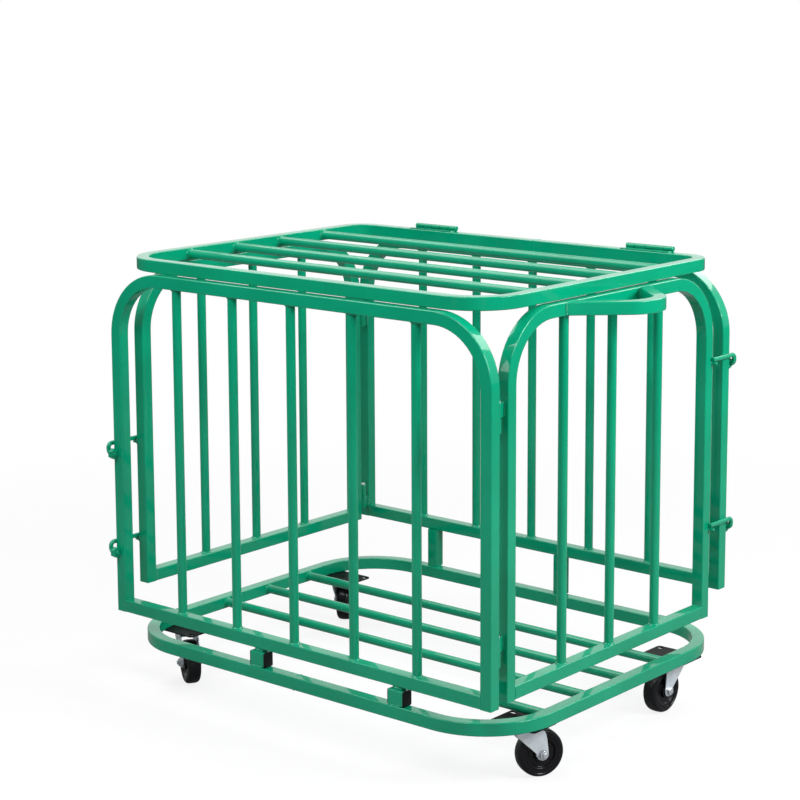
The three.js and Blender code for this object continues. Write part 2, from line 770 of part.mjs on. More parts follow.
// Long panels: the back one is the front one turned half round, on a raised bottom.
function addLongPanel(cage, name, bottom, latchHeights, side, turn) {
  const spot = (along) => [along, tube / 2];
  const pitch = longBarPitchShare * panelLength;
  const grille = barGrille(panelLength, bottom, pitch, longBarCount, standAlongX, spot);
  const pieces = [
    named(`${name}_frame`, longFrame(bottom, latchHeights), materials.enamel()),
    named(`${name}_grille`, grille, materials.enamel()),
  ];
  const levels = ['lower', 'upper'];
  doorHingeHeights.forEach((height, index) => {
    const pin = doorPin(longHinge.x, longHinge.y, panelBottom + height);
    pieces.push(named(`${name}_hinge_pin_${levels[index]}`, pin, materials.zinc()));
  });
  latchHeights.forEach((height, index) => {
    pieces.push(named(`${name}_latch_bar_${levels[index]}`, latchBar(height), materials.enamel()));
  });
  cage.add(placed(pieces, (side * cageLength) / 2, (side * cageDepth) / 2, turn));
}

function addEndPanel(cage, name, bottom, latchHeights, side, turn, extras) {
  const spot = (along) => [-tube / 2, along];
  const pitch = endBarPitchShare * endLength;
  const grille = barGrille(endLength, bottom, pitch, endBarCount, standAlongY, spot);
  const pieces = [
    named(`${name}_frame`, endFrame(bottom, latchHeights), materials.enamel()),
    named(`${name}_grille`, grille, materials.enamel()),
    ...extras,
  ];
  const y = side * (-cageDepth / 2 + tube + hingeGap);
  cage.add(placed(pieces, (side * cageLength) / 2, y, turn));
}

function addLid(cage) {
  const lidX = (lidLeftInset - lidRightInset - hingeOverhang) / 2;
  const lid = new THREE.Group();
  lid.position.set(lidX, lidY, 0);
  const ring = tubeRing(lidLength, lidDepth, lidFrontBend, lidBackBend, lidBottom);
  lid.add(named('lid_ring', ring, materials.enamel()));
  for (let index = 0; index < lidBarCount; index += 1) {
    const y = lidDepth * (lidBarStartShare + index * lidBarPitchShare - 1 / 2);
    const bar = crossBar(lidLength, lidDepth, lidFrontBend, y, lidBottom + tube / 2);
    lid.add(named(`lid_bar_${index + 1}`, bar, materials.enamel()));
  }
  cage.add(lid);
  const names = ['left', 'right'];
  names.forEach((name, index) => {
    const x = lidX + (index * 2 - 1) * (lidLength / 2 - lidHingeInsets[index]);
    cage.add(named(`lid_hinge_leaf_${name}`, lidLeaf(x), materials.enamel()));
    cage.add(named(`lid_hinge_wall_leaf_${name}`, wallLeaf(x), materials.enamel()));
    cage.add(named(`lid_hinge_pin_${name}`, lidHingePin(x), materials.zinc()));
  });
}

function addCage(cart) {
  const cage = new THREE.Group();
  cage.position.set(cageShiftX, cageShiftY, 0);
  const raised = panelBottom + raisedBottom;
  addLongPanel(cage, 'front', panelBottom, frontLatchHeights, -1, 0);
  addLongPanel(cage, 'back', raised, backLatchHeights, 1, halfTurn);
  const handle = named('door_handle', bowHandle(), materials.enamel());
  addEndPanel(cage, 'right_end', panelBottom, backLatchHeights, 1, 0, [handle]);
  addEndPanel(cage, 'left_end', raised, frontLatchHeights, -1, halfTurn, []);
  addLid(cage);
  cart.add(cage);
}

// The origin is under the middle of the whole cart's box, on the floor.
const cart = new THREE.Group();
addBase(cart);
addCasters(cart);
addCage(cart);
const leftmost = cageLength / 2 + keeperLength;
const rightmost = cageLength / 2 + handleReach;
cart.position.set(-cageShiftX - (rightmost - leftmost) / 2, -cageShiftY, 0);

const ballCart = new THREE.Group();
ballCart.add(cart);

export default ballCart;
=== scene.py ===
import math

import bpy
from mathutils import Matrix, Vector


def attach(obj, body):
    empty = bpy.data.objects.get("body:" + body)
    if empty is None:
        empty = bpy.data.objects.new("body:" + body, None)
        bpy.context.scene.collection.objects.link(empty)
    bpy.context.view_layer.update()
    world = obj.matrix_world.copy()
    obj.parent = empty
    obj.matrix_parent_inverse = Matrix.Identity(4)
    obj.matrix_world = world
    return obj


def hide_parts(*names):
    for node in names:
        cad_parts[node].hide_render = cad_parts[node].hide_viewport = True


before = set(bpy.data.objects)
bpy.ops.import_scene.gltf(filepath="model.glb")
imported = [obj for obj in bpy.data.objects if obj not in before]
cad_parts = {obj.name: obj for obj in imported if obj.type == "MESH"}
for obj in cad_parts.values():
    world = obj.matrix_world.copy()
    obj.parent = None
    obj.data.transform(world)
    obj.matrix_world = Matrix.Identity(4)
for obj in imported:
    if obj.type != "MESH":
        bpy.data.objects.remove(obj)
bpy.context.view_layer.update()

# Base ring: one length of square steel tube, bent round at its four corners, with its two ends
# butt welded near the middle of the front rail. Glossy green stoving enamel over the whole weldment.
# The casters, floor bars and stands are fixed to it.
TUBE = 0.022
TUBE_EDGE = 0.0020
EDGE_STEPS = 3
BEND_STEPS = 16
MERGE_REACH = 0.00002
STRAIGHT = 0.99
SMOOTH_ANGLE = math.radians(38)
RING_LOW = Vector((-0.46665, -0.3529, 0.0953))
RING_HIGH = Vector((0.40735, 0.3357, 0.1173))
RING_BEND = 0.138
RING_SEAM_X = -0.0289
SEAM_REACH = 0.0016
SEAM_SWELL = (1.0, 1.05, 1.075, 1.05, 1.0)
SEAM_LUMPS = 0.00012
PAINT_DRIFT_SCALE = 9
PAINT_DRIFT_SPAN = (0.3, 0.7)
PAINT_RUB_SCALE = 55
PAINT_RUB_SPAN = (0.62, 0.74)
PAINT_PEEL_SCALE = 620
PAINT_WAVE_SCALE = 90
RUB_DULLNESS = 0.14
PEEL_SHARE = 0.35
PAINT_RELIEF = 0.001
COAT_ROUGHNESS = 0.035


def settle(name):
    """Names the new primitive and puts its place into its mesh."""
    piece = bpy.context.object
    piece.name = name
    piece.data.name = name
    bpy.ops.object.transform_apply(location=True, rotation=True, scale=True)
    return piece


def facing(way):
    """Turn that points a flat primitive along a direction, one side kept level."""
    if abs(way.z) > STRAIGHT:
        return (0, 0, 0) if way.z > 0 else (math.pi, 0, 0)
    return way.to_track_quat("Z", "Y").to_euler()


def tube_mouth(name, centre, way):
    """A square with round corners, one tube wide, selected in edit mode."""
    bpy.ops.mesh.primitive_plane_add(size=TUBE, location=centre, rotation=facing(way))
    piece = settle(name)
    bpy.ops.object.mode_set(mode="EDIT")
    bpy.ops.mesh.select_mode(type="VERT")
    bpy.ops.mesh.select_all(action="SELECT")
    bpy.ops.mesh.bevel(offset=TUBE_EDGE, segments=EDGE_STEPS, affect="VERTICES")
    bpy.ops.mesh.select_all(action="SELECT")
    return piece


def run(step):
    """Draws what is selected straight on by a step."""
    bpy.ops.mesh.extrude_region_move(TRANSFORM_OT_translate={"value": tuple(step)})


def bend(centre, axis, angle, steps=BEND_STEPS):
    """Draws what is selected round an axis; spin counts its angle the other way."""
    bpy.ops.mesh.spin(steps=steps, angle=-angle, center=tuple(centre), axis=tuple(axis))


def draw(corners, radii, steps=BEND_STEPS):
    """Draws the selected mouth along straight runs, with an arc of its own radius at each corner."""
    spot = corners[0]
    for before, corner, after, radius in zip(corners, corners[1:], corners[2:], radii):
        into = (corner - before).normalized()
        out = (after - corner).normalized()
        angle = into.angle(out)
        cut = radius * math.tan(angle / 2)
        axis = into.cross(out).normalized()
        arc_start = corner - into * cut
        run(arc_start - spot)
        bend(arc_start + axis.cross(into) * radius, axis, angle, steps)
        spot = corner + out * cut
    run(corners[-1] - spot)


def close_up(piece):
    """Merges what meets, points every face outwards and leaves edit mode."""
    bpy.ops.mesh.select_all(action="SELECT")
    bpy.ops.mesh.remove_doubles(threshold=MERGE_REACH)
    bpy.ops.mesh.normals_make_consistent(inside=False)
    bpy.ops.object.mode_set(mode="OBJECT")
    return piece


def join(pieces):
    """Makes several meshes one piece, named as the first."""
    bpy.ops.object.select_all(action="DESELECT")
    for piece in pieces:
        piece.select_set(True)
    bpy.context.view_layer.objects.active = pieces[0]
    bpy.ops.object.join()
    return pieces[0]


def tube_ring(name, low, high, front_bend, back_bend):
    """Closed ring of square tube between two corners of its box."""
    half = TUBE / 2
    z = (low.z + high.z) / 2
    middle_x = (low.x + high.x) / 2
    start = Vector((middle_x, high.y - half, z))
    corners = [
        start,
        Vector((low.x + half, high.y - half, z)),
        Vector((low.x + half, low.y + half, z)),
        Vector((high.x - half, low.y + half, z)),
        Vector((high.x - half, high.y - half, z)),
        start,
    ]
    piece = tube_mouth(name, start, Vector((-1, 0, 0)))
    bpy.ops.mesh.delete(type="ONLY_FACE")
    bpy.ops.mesh.select_all(action="SELECT")
    draw(corners, [radius - half for radius in (back_bend, front_bend, front_bend, back_bend)])
    return close_up(piece)


def swell(share, centre):
    """Scales what is selected about a point."""
    bpy.ops.transform.resize(value=(share,) * 3, center_override=centre)


def seam(name, centre, way):
    """Thin weld band round the tube where two ends are butted."""
    step = way * SEAM_REACH / 2
    spot = centre - way * SEAM_REACH
    piece = tube_mouth(name, spot, way)
    bpy.ops.mesh.delete(type="ONLY_FACE")
    bpy.ops.mesh.select_all(action="SELECT")
    for old, new in zip(SEAM_SWELL, SEAM_SWELL[1:]):
        run(step)
        spot = spot + step
        swell(new / old, spot)
    bpy.ops.mesh.select_all(action="SELECT")
    bpy.ops.transform.vertex_random(offset=SEAM_LUMPS, seed=len(name))
    return close_up(piece)


def only(piece):
    """Selects one piece and nothing else."""
    bpy.ops.object.select_all(action="DESELECT")
    piece.select_set(True)
    bpy.context.view_layer.objects.active = piece


def apply_last(piece):
    """Applies the modifier that was added last."""
    bpy.ops.object.modifier_apply(modifier=piece.modifiers[-1].name)


def finished(piece, material):
    """Smooth shading with the flats kept flat, and the piece's one material."""
    only(piece)
    bpy.ops.object.shade_smooth_by_angle(angle=SMOOTH_ANGLE)
    bpy.ops.object.modifier_add(type="WEIGHTED_NORMAL")
    piece.modifiers[-1].keep_sharp = True
    apply_last(piece)
    piece.data.materials.append(material)
    return piece


def fit(piece, body, slot, *nodes):
    """The piece takes the place of CAD nodes and moves with a body."""
    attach(piece, body)
    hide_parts(*nodes)


def film_group(name, inputs):
    """Empty node group: its inputs by name and kind, with a colour, roughness and height out."""
    group = bpy.data.node_groups.new(name, "ShaderNodeTree")
    outputs = {"Colour": "NodeSocketColor", "Roughness": "NodeSocketFloat", "Height": "NodeSocketFloat"}
    for way, sockets in (("INPUT", inputs), ("OUTPUT", outputs)):
        for title, kind in sockets.items():
            group.interface.new_socket(name=title, in_out=way, socket_type=kind)
    return group, group.nodes.new("NodeGroupInput"), group.nodes.new("NodeGroupOutput")


def link_noise(tree, vector, scale, detail, rough=0.5):
    """Noise texture read at a vector; returns its value socket."""
    noise = tree.nodes.new("ShaderNodeTexNoise")
    noise.inputs["Scale"].default_value = scale
    noise.inputs["Detail"].default_value = detail
    noise.inputs["Roughness"].default_value = rough
    tree.links.new(vector, noise.inputs["Vector"])
    return noise.outputs["Fac"]


def link_range(tree, value, low, high, to_low, to_high):
    """Map Range node on a value; returns its result socket."""
    node = tree.nodes.new("ShaderNodeMapRange")
    tree.links.new(value, node.inputs["Value"])
    ends = {"From Min": low, "From Max": high, "To Min": to_low, "To Max": to_high}
    for name, number in ends.items():
        node.inputs[name].default_value = number
    return node.outputs["Result"]


def feed(tree, socket, side):
    """Links a socket to another one, or gives it a value."""
    if isinstance(side, bpy.types.NodeSocket):
        tree.links.new(side, socket)
    else:
        socket.default_value = side


def link_mix(tree, factor, first, second):
    """Colour mix; each side is a socket or a plain colour."""
    node = tree.nodes.new("ShaderNodeMix")
    node.data_type = "RGBA"
    tree.links.new(factor, node.inputs["Factor"])
    for name, side in (("A", first), ("B", second)):
        feed(tree, [one for one in node.inputs if one.name == name and one.type == "RGBA"][0], side)
    return [one for one in node.outputs if one.type == "RGBA"][0]


def link_math(tree, operation, *sides):
    """Math node; each side is a socket or a number."""
    node = tree.nodes.new("ShaderNodeMath")
    node.operation = operation
    for socket, side in zip(node.inputs, sides):
        feed(tree, socket, side)
    return node.outputs[0]


def paint_film_group():
    """Sprayed and stoved paint: slow colour drift, fine orange peel and a few dull rubs."""
    group, entry, leave = film_group("paint film", {
        "Vector": "NodeSocketVector",
        "Paint": "NodeSocketColor",
        "Deep Paint": "NodeSocketColor",
        "Gloss Roughness": "NodeSocketFloat",
    })
    vector = entry.outputs["Vector"]
    drift = link_range(group, link_noise(group, vector, PAINT_DRIFT_SCALE, 2), *PAINT_DRIFT_SPAN, 0, 1)
    rubs = link_range(group, link_noise(group, vector, PAINT_RUB_SCALE, 6, 0.7), *PAINT_RUB_SPAN, 0, 1)
    peel = link_noise(group, vector, PAINT_PEEL_SCALE, 2)
    waves = link_noise(group, vector, PAINT_WAVE_SCALE, 1)
    colour = link_mix(group, drift, entry.outputs["Paint"], entry.outputs["Deep Paint"])
    dull = link_math(group, "MULTIPLY_ADD", rubs, RUB_DULLNESS, entry.outputs["Gloss Roughness"])
    height = link_math(group, "MULTIPLY_ADD", peel, PEEL_SHARE, waves)
    group.links.new(colour, leave.inputs["Colour"])
    group.links.new(dull, leave.inputs["Roughness"])
    group.links.new(height, leave.inputs["Height"])
    return group


def film_material(name, group, settings, strength, relief):
    """Material that takes its colour, roughness and bumps from a film group, and its shader."""
    material = bpy.data.materials.new(name)
    material.use_nodes = True
    tree = material.node_tree
    shader = tree.nodes["Principled BSDF"]
    place = tree.nodes.new("ShaderNodeTexCoord")
    film = tree.nodes.new("ShaderNodeGroup")
    film.node_tree = group
    for title, value in settings.items():
        film.inputs[title].default_value = value
    tree.links.new(place.outputs["Object"], film.inputs["Vector"])
    tree.links.new(film.outputs["Colour"], shader.inputs["Base Color"])
    tree.links.new(film.outputs["Roughness"], shader.inputs["Roughness"])
    bump = tree.nodes.new("ShaderNodeBump")
    bump.inputs["Strength"].default_value = strength
    bump.inputs["Distance"].default_value = relief
    tree.links.new(film.outputs["Height"], bump.inputs["Height"])
    tree.links.new(bump.outputs["Normal"], shader.inputs["Normal"])
    return material, shader


paint_film = paint_film_group()


def painted(name, paint, deep_paint, gloss, peel, specular, coat):
    """Paint film with more or less orange peel, under a clear coat."""
    settings = {"Paint": (*paint, 1), "Deep Paint": (*deep_paint, 1), "Gloss Roughness": gloss}
    material, shader = film_material(name, paint_film, settings, peel, PAINT_RELIEF)
    shader.inputs["Specular IOR Level"].default_value = specular
    shader.inputs["Coat Weight"].default_value = coat
    shader.inputs["Coat Roughness"].default_value = COAT_ROUGHNESS
    return material


green_enamel = painted(
    "green enamel", (0.0012, 0.35, 0.185), (0.001, 0.30, 0.157),
    gloss=0.22, peel=0.04, specular=0.05, coat=0.75,
)


def welded_ring(name, body, low, high, bends, seam_x, seam_y):
    """Ring of square tube, its two ends butted and welded at a seam."""
    ring = tube_ring(f"{name}_tube", low, high, *bends)
    spot = Vector((seam_x, seam_y, ((low + high) / 2).z))
    ring = join([ring, seam(f"{name}_seam", spot, Vector((1, 0, 0)))])
    fit(finished(ring, green_enamel), body, "enamel", name)


seam_y = RING_LOW.y + TUBE / 2
welded_ring("base_ring", "cart", RING_LOW, RING_HIGH, (RING_BEND, RING_BEND), RING_SEAM_X, seam_y)

# Floor bars: round steel tube across the ring, each end cut square and welded all round to the
# ring's inner face, so that a small fillet swells at both ends. Enamelled with the ring.
BAR_RADIUS = 0.008
BAR_SIDES = 28
BAR_END = (
    (0, 0.0103), (0.0007, 0.0101), (0.0015, 0.0094), (0.0021, 0.0085), (0.0026, 0.00805), (0.004, BAR_RADIUS),
)
FLOOR_BAR_PLACES = (-0.2023, -0.0883, 0.0257, 0.1397)


def round_mouth(name, centre, way, radius, sides):
    """A filled circle across a direction, selected in edit mode."""
    bpy.ops.mesh.primitive_circle_add(
        vertices=sides, radius=radius, fill_type="NGON", location=centre, rotation=facing(way)
    )
    piece = settle(name)
    bpy.ops.object.mode_set(mode="EDIT")
    bpy.ops.mesh.select_all(action="SELECT")
    return piece


def turned(name, start, way, stations, sides=BAR_SIDES):
    """Round shape drawn along its axis: each station is a distance from the start and a radius."""
    way = Vector(way).normalized()
    piece = round_mouth(name, Vector(start) + way * stations[0][0], way, stations[0][1], sides)
    for (before, old), (after, new) in zip(stations, stations[1:]):
        run(way * (after - before))
        swell(new / old, Vector(start) + way * after)
    bpy.ops.mesh.select_all(action="SELECT")
    bpy.ops.mesh.normals_make_consistent(inside=False)
    bpy.ops.object.mode_set(mode="OBJECT")
    return piece


def like_ends(end, length):
    """Stations of a round piece whose second end is like its first."""
    return [*end, *((length - reach, radius) for reach, radius in reversed(end))]


def welded_bar(name, start, end):
    """Round bar with a weld fillet swelling at each end."""
    start, end = Vector(start), Vector(end)
    return turned(name, start, end - start, like_ends(BAR_END, (end - start).length))


def cross_bars(kind, body, low, high, places):
    """Round bars welded lengthwise into the ring between two corners of its box."""
    z = ((low + high) / 2).z
    for number, y in enumerate(places, 1):
        bar = welded_bar(f"{kind}_bar_tube_{number}", (low.x + TUBE, y, z), (high.x - TUBE, y, z))
        fit(finished(bar, green_enamel), body, "enamel", f"{kind}_bar_{number}")


cross_bars("floor", "cart", RING_LOW, RING_HIGH, FLOOR_BAR_PLACES)

# Front stands: short stubs of the same square tube lying on the ring's front rail, each with a
# weld nut on top that the front panel is bolted down to. A black plastic plug closes each end.
UP = Vector((0, 0, 1))
FRONT_STAND_PLACES = (-0.11455, 0.19345)
FRONT_STAND_Y = -0.3396
STUB_LENGTH = 0.030
STUB_Z = 0.1286
STUB_STRETCH = 1.18
STUB_BEAD_RADIUS = 0.0019
STUB_BEAD_SHORT = 0.003
STUB_BEAD_SINK = 0.0006
STUB_BEAD_RISE = 0.0004
STAND_NUT_RADIUS = 0.0109
STAND_NUT_FOOT = (0.001, 0.0106)
STAND_NUT_HEAD = (0.0008, 0.0098)
STAND_NUT_SINK = 0.0005
HEX_SIDES = 6
PANEL_BOTTOM = 0.1493
BEAD_SIDES = 10
BEAD_PITCH = 0.0014
BEAD_FEWEST = 4
BEAD_TIP = 0.35
BEAD_TROUGH = 0.82
PLUG_GAP = 0.00005
PLUG_STEPS = ((0.0016, 0.97), (0.0025, 0.82))


def pick(piece, wanted):
    """Selects, in edit mode, the faces whose middle and normal are wanted."""
    bpy.context.view_layer.objects.active = piece
    bpy.ops.object.mode_set(mode="EDIT")
    bpy.ops.mesh.select_mode(type="FACE")
    bpy.ops.mesh.select_all(action="DESELECT")
    bpy.ops.object.mode_set(mode="OBJECT")
    for face in piece.data.polygons:
        face.select = wanted(face.center, face.normal)
    bpy.ops.object.mode_set(mode="EDIT")


def square_tube(name, start, end):
    """Straight square tube between two points on its centre line."""
    start, end = Vector(start), Vector(end)
    piece = tube_mouth(name, start, end - start)
    run(end - start)
    return close_up(piece)


def stretched(piece, foot):
    """Draws a stub or its plug up to its real height, its underside kept where it is."""
    pick(piece, lambda middle, normal: True)
    bpy.ops.transform.resize(value=(1, 1, STUB_STRETCH), center_override=foot)
    bpy.ops.object.mode_set(mode="OBJECT")
    return piece


def weld_bead(name, start, end, radius, rough=0.0):
    """Rippled weld bead between two points, thin at its ends, lumpy where it is a rough one."""
    start, end = Vector(start), Vector(end)
    length = (end - start).length
    count = max(int(length / BEAD_PITCH), BEAD_FEWEST)
    stations = [(0, radius * BEAD_TIP)]
    for step in range(1, count * 2):
        stations.append((length * step / (count * 2), radius * (1.0 if step % 2 else BEAD_TROUGH)))
    stations.append((length, radius * BEAD_TIP))
    bead = turned(name, start, end - start, stations, BEAD_SIDES)
    if rough:
        pick(bead, lambda middle, normal: True)
        bpy.ops.transform.vertex_random(offset=rough, seed=count)
        bpy.ops.object.mode_set(mode="OBJECT")
    return bead


plug_black = painted(
    "plug black", (0.008, 0.008, 0.009), (0.014, 0.014, 0.015),
    gloss=0.42, peel=0.12, specular=0.25, coat=0.0,
)

for number, x in enumerate(FRONT_STAND_PLACES, 1):
    left = Vector((x - STUB_LENGTH / 2, FRONT_STAND_Y, STUB_Z))
    right = Vector((x + STUB_LENGTH / 2, FRONT_STAND_Y, STUB_Z))
    foot = Vector((x, FRONT_STAND_Y, STUB_Z - TUBE / 2))
    stub = stretched(square_tube(f"front_stand_stub_{number}", left, right), foot)
    nut_low = foot.z + TUBE * STUB_STRETCH - STAND_NUT_SINK
    height = PANEL_BOTTOM - nut_low
    nut_stations = [
        (0, STAND_NUT_FOOT[1]), (STAND_NUT_FOOT[0], STAND_NUT_RADIUS),
        (height - STAND_NUT_HEAD[0], STAND_NUT_RADIUS), (height, STAND_NUT_HEAD[1]),
    ]
    nut = turned(f"front_stand_nut_{number}", (x, FRONT_STAND_Y, nut_low), UP, nut_stations, HEX_SIDES)
    parts = [stub, nut]
    for side in (-1, 1):
        y = FRONT_STAND_Y + side * (TUBE / 2 - STUB_BEAD_SINK)
        z = STUB_Z - TUBE / 2 + STUB_BEAD_RISE
        ends = [(left.x + STUB_BEAD_SHORT, y, z), (right.x - STUB_BEAD_SHORT, y, z)]
        parts.append(weld_bead(f"front_stand_bead_{number}_{side}", *ends, STUB_BEAD_RADIUS))
    fit(finished(join(parts), green_enamel), "cart", "enamel", f"front_stand_{number}")
    for side, end, way in (("left", left, Vector((-1, 0, 0))), ("right", right, Vector((1, 0, 0)))):
        plug = tube_mouth(f"front_stand_plug_{number}_{side}", end + way * PLUG_GAP, way)
        last = 0
        for reach, share in PLUG_STEPS:
            run(way * (reach - last))
            swell(share, end + way * reach)
            last = reach
        finished(stretched(close_up(plug), foot), plug_black)
        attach(plug, "cart")

# Back stands: upright posts of square tube from the ring's back rail to the raised bottom rail of
# the back panel, welded at top and foot. Enamelled.
BACK_STAND_PLACES = (0.03005, -0.27795)
BACK_STAND_Y = 0.3310
RAISED_BOTTOM = 0.1903
POST_GAP = 0.0001
POST_BEAD_RADIUS = 0.0017
POST_BEAD_SPAN = (-0.007, 0.004)
POST_BEAD_OUT = 0.0002

for number, x in enumerate(BACK_STAND_PLACES, 1):
    foot_z = RING_HIGH.z + POST_GAP
    head_z = RAISED_BOTTOM - POST_GAP
    parts = [square_tube(f"back_stand_post_{number}", (x, BACK_STAND_Y, foot_z), (x, BACK_STAND_Y, head_z))]
    for z in (foot_z, head_z):
        for side in (-1, 1):
            edge = x + side * (TUBE / 2 + POST_BEAD_OUT)
            ends = [(edge, BACK_STAND_Y + reach, z) for reach in POST_BEAD_SPAN]
            parts.append(weld_bead("back_stand_bead", *ends, POST_BEAD_RADIUS))
    fit(finished(join(parts), green_enamel), "cart", "enamel", f"back_stand_{number}")

# Long panels: one hoop of square tube bent to an upside-down U, front and back alike, the back
# one turned half round on a raised bottom. Each carries two barrel knuckles for the end panel at
# its far leg and two hexagon nuts for the latch bars at its near leg, all welded on.
TUBE_WALL = 0.0015
MOUTH_DEPTH = 0.03
MOUTH_REACH = 0.001
PANEL_BEND = 0.115
PANEL_TOP = 0.7693
CAGE_MIDDLE_X = -0.04225
FRONT_LEFT_FOOT = Vector((-0.46455 + TUBE / 2, -0.3373, PANEL_BOTTOM))
FRONT_RIGHT_FOOT = Vector((0.38645 - TUBE / 2, -0.3373, PANEL_BOTTOM))
DOOR_AXIS = Vector((0.36905, -0.3121, 0))
DOOR_HINGE_HEIGHTS = {"lower": 0.084, "upper": 0.458}
LONG_LEG_FACE = -0.3263
KNUCKLE_LENGTH = 0.024
KNUCKLE_END = ((0, 0.0061), (0.0006, 0.0068), (0.0012, 0.007))
WEB_THICK = 0.006
WEB_SHORT = 0.001
WEB_EDGE = 0.0006
WEB_BEAD_RADIUS = 0.0018
WEB_BEAD_SHORT = 0.002
WEB_BEAD_OUT = 0.0034
FRONT_LATCH_PIVOTS = {"lower": 0.2593, "upper": 0.4403}
BACK_LATCH_PIVOTS = {"lower": 0.3003, "upper": 0.5983}
LATCH_PIVOT = Vector((-0.46155, -0.3565, 0))
LATCH_NUT_LENGTH = 0.008
LATCH_NUT_END = ((0, 0.0086), (0.0008, 0.0098))
NUT_BEAD_RADIUS = 0.0014
NUT_BEAD_SPAN = (0.001, 0.007)
NUT_BEAD_SPREAD = 0.0052
NUT_BEAD_Y = -0.3485


def polished_edges(piece, width, angle=40, segments=2):
    """Rounds a piece's sharp edges with a bevel."""
    only(piece)
    bpy.ops.object.modifier_add(type="BEVEL")
    rounding = piece.modifiers[-1]
    rounding.width = width
    rounding.segments = segments
    rounding.limit_method = "ANGLE"
    rounding.angle_limit = math.radians(angle)
    apply_last(piece)
    return piece


def block(name, middle, size, edge):
    """Box with rounded edges."""
    bpy.ops.mesh.primitive_cube_add(size=1, location=middle)
    bpy.context.object.scale = size
    return polished_edges(settle(name), edge)


def mouths(piece, wanted, way, depth):
    """Opens the picked end faces into hollow tube ends."""
    pick(piece, wanted)
    bpy.ops.mesh.inset(thickness=TUBE_WALL)
    run(way * depth)
    bpy.ops.object.mode_set(mode="OBJECT")


def half_round(point):
    """The same point on the panel that is turned half round about the cage's middle."""
    return Vector((2 * CAGE_MIDDLE_X - point[0], -point[1], point[2]))


def stay(point):
    """The point itself, for the panel that is not turned."""
    return Vector(point)


def hoop(name, foot, other_foot):
    """Upside-down U of square tube with open feet."""
    top = PANEL_TOP - TUBE / 2
    shoulders = [Vector((end.x, end.y, top)) for end in (foot, other_foot)]
    piece = tube_mouth(name, foot, UP)
    draw([foot, *shoulders, other_foot], [PANEL_BEND - TUBE / 2] * 2)
    close_up(piece)
    mouth_top = foot.z + MOUTH_REACH
    mouths(piece, lambda middle, normal: normal.z < -STRAIGHT and middle.z < mouth_top, UP, MOUTH_DEPTH)
    return piece


def knuckle(name, centre, low_z, web_end):
    """Barrel knuckle with the web that joins it to its leg, and the beads along the web."""
    high_z = low_z + KNUCKLE_LENGTH
    barrel = turned(name, (centre.x, centre.y, low_z), UP, like_ends(KNUCKLE_END, KNUCKLE_LENGTH))
    middle = Vector((centre.x, (centre.y + web_end) / 2, (low_z + high_z) / 2))
    size = (WEB_THICK, abs(web_end - centre.y), KNUCKLE_LENGTH - WEB_SHORT)
    parts = [barrel, block(f"{name}_web", middle, size, WEB_EDGE)]
    for side in (-1, 1):
        x = centre.x + side * WEB_BEAD_OUT
        ends = [(x, web_end, low_z + WEB_BEAD_SHORT), (x, web_end, high_z - WEB_BEAD_SHORT)]
        parts.append(weld_bead(f"{name}_bead", *ends, WEB_BEAD_RADIUS))
    return parts


def hinged_hoop(name, place, feet, bottom, leg_face, rise):
    """Hoop with its knuckles, which rise so far from the door hinges' heights."""
    feet = [place((foot.x, foot.y, bottom)) for foot in feet]
    parts = [hoop(name, *feet)]
    web_end = place((0, leg_face, 0)).y
    for level, height in DOOR_HINGE_HEIGHTS.items():
        low_z = PANEL_BOTTOM + height + rise
        parts += knuckle(f"{name}_knuckle_{level}", place(DOOR_AXIS), low_z, web_end)
    return parts


def long_panel_frame(name, place, bottom, latch_pivots):
    """Hoop of a long panel with its knuckles and its hexagon nuts."""
    feet = (FRONT_LEFT_FOOT, FRONT_RIGHT_FOOT)
    parts = hinged_hoop(name, place, feet, bottom, LONG_LEG_FACE, -KNUCKLE_LENGTH)
    way = place((1, 0, 0)) - place((0, 0, 0))
    bead_y = place((0, NUT_BEAD_Y, 0)).y
    nut_stations = like_ends(LATCH_NUT_END, LATCH_NUT_LENGTH)
    for level, z in latch_pivots.items():
        pivot = place((LATCH_PIVOT.x, LATCH_PIVOT.y, z))
        parts.append(turned(f"{name}_nut_{level}", pivot, way, nut_stations, HEX_SIDES))
        for side in (-1, 1):
            bead_z = z + side * NUT_BEAD_SPREAD
            ends = [(pivot.x + way.x * reach, bead_y, bead_z) for reach in NUT_BEAD_SPAN]
            parts.append(weld_bead(f"{name}_nut_bead", *ends, NUT_BEAD_RADIUS))
    return finished(join(parts), green_enamel)


front_frame = long_panel_frame("front_panel_hoop", stay, PANEL_BOTTOM, FRONT_LATCH_PIVOTS)
fit(front_frame, "cart", "enamel", "front_frame")
back_frame = long_panel_frame("back_panel_hoop", half_round, RAISED_BOTTOM, BACK_LATCH_PIVOTS)
fit(back_frame, "cart", "enamel", "back_frame")

# Grilles: a straight bottom rail of square tube between the legs, and upright round bars from it
# to the top rail. Every end is welded all round, and the whole grille is enamelled with its frame.
LONG_BAR_PLACES = (-0.30705, -0.17305, -0.03905, 0.09495, 0.22895)
END_BAR_PLACES = (-0.1383, -0.0023, 0.1337)
BAR_HEAD = PANEL_TOP - TUBE
RAIL_BEAD_HALF = 0.0085
RAIL_BEAD_IN = 0.0005
SIDE_BEAD_RADIUS = 0.0017
SIDE_BEAD_SINK = 0.0009
TOP_BEAD_RADIUS = 0.0018
TOP_BEAD_SINK = 0.0006


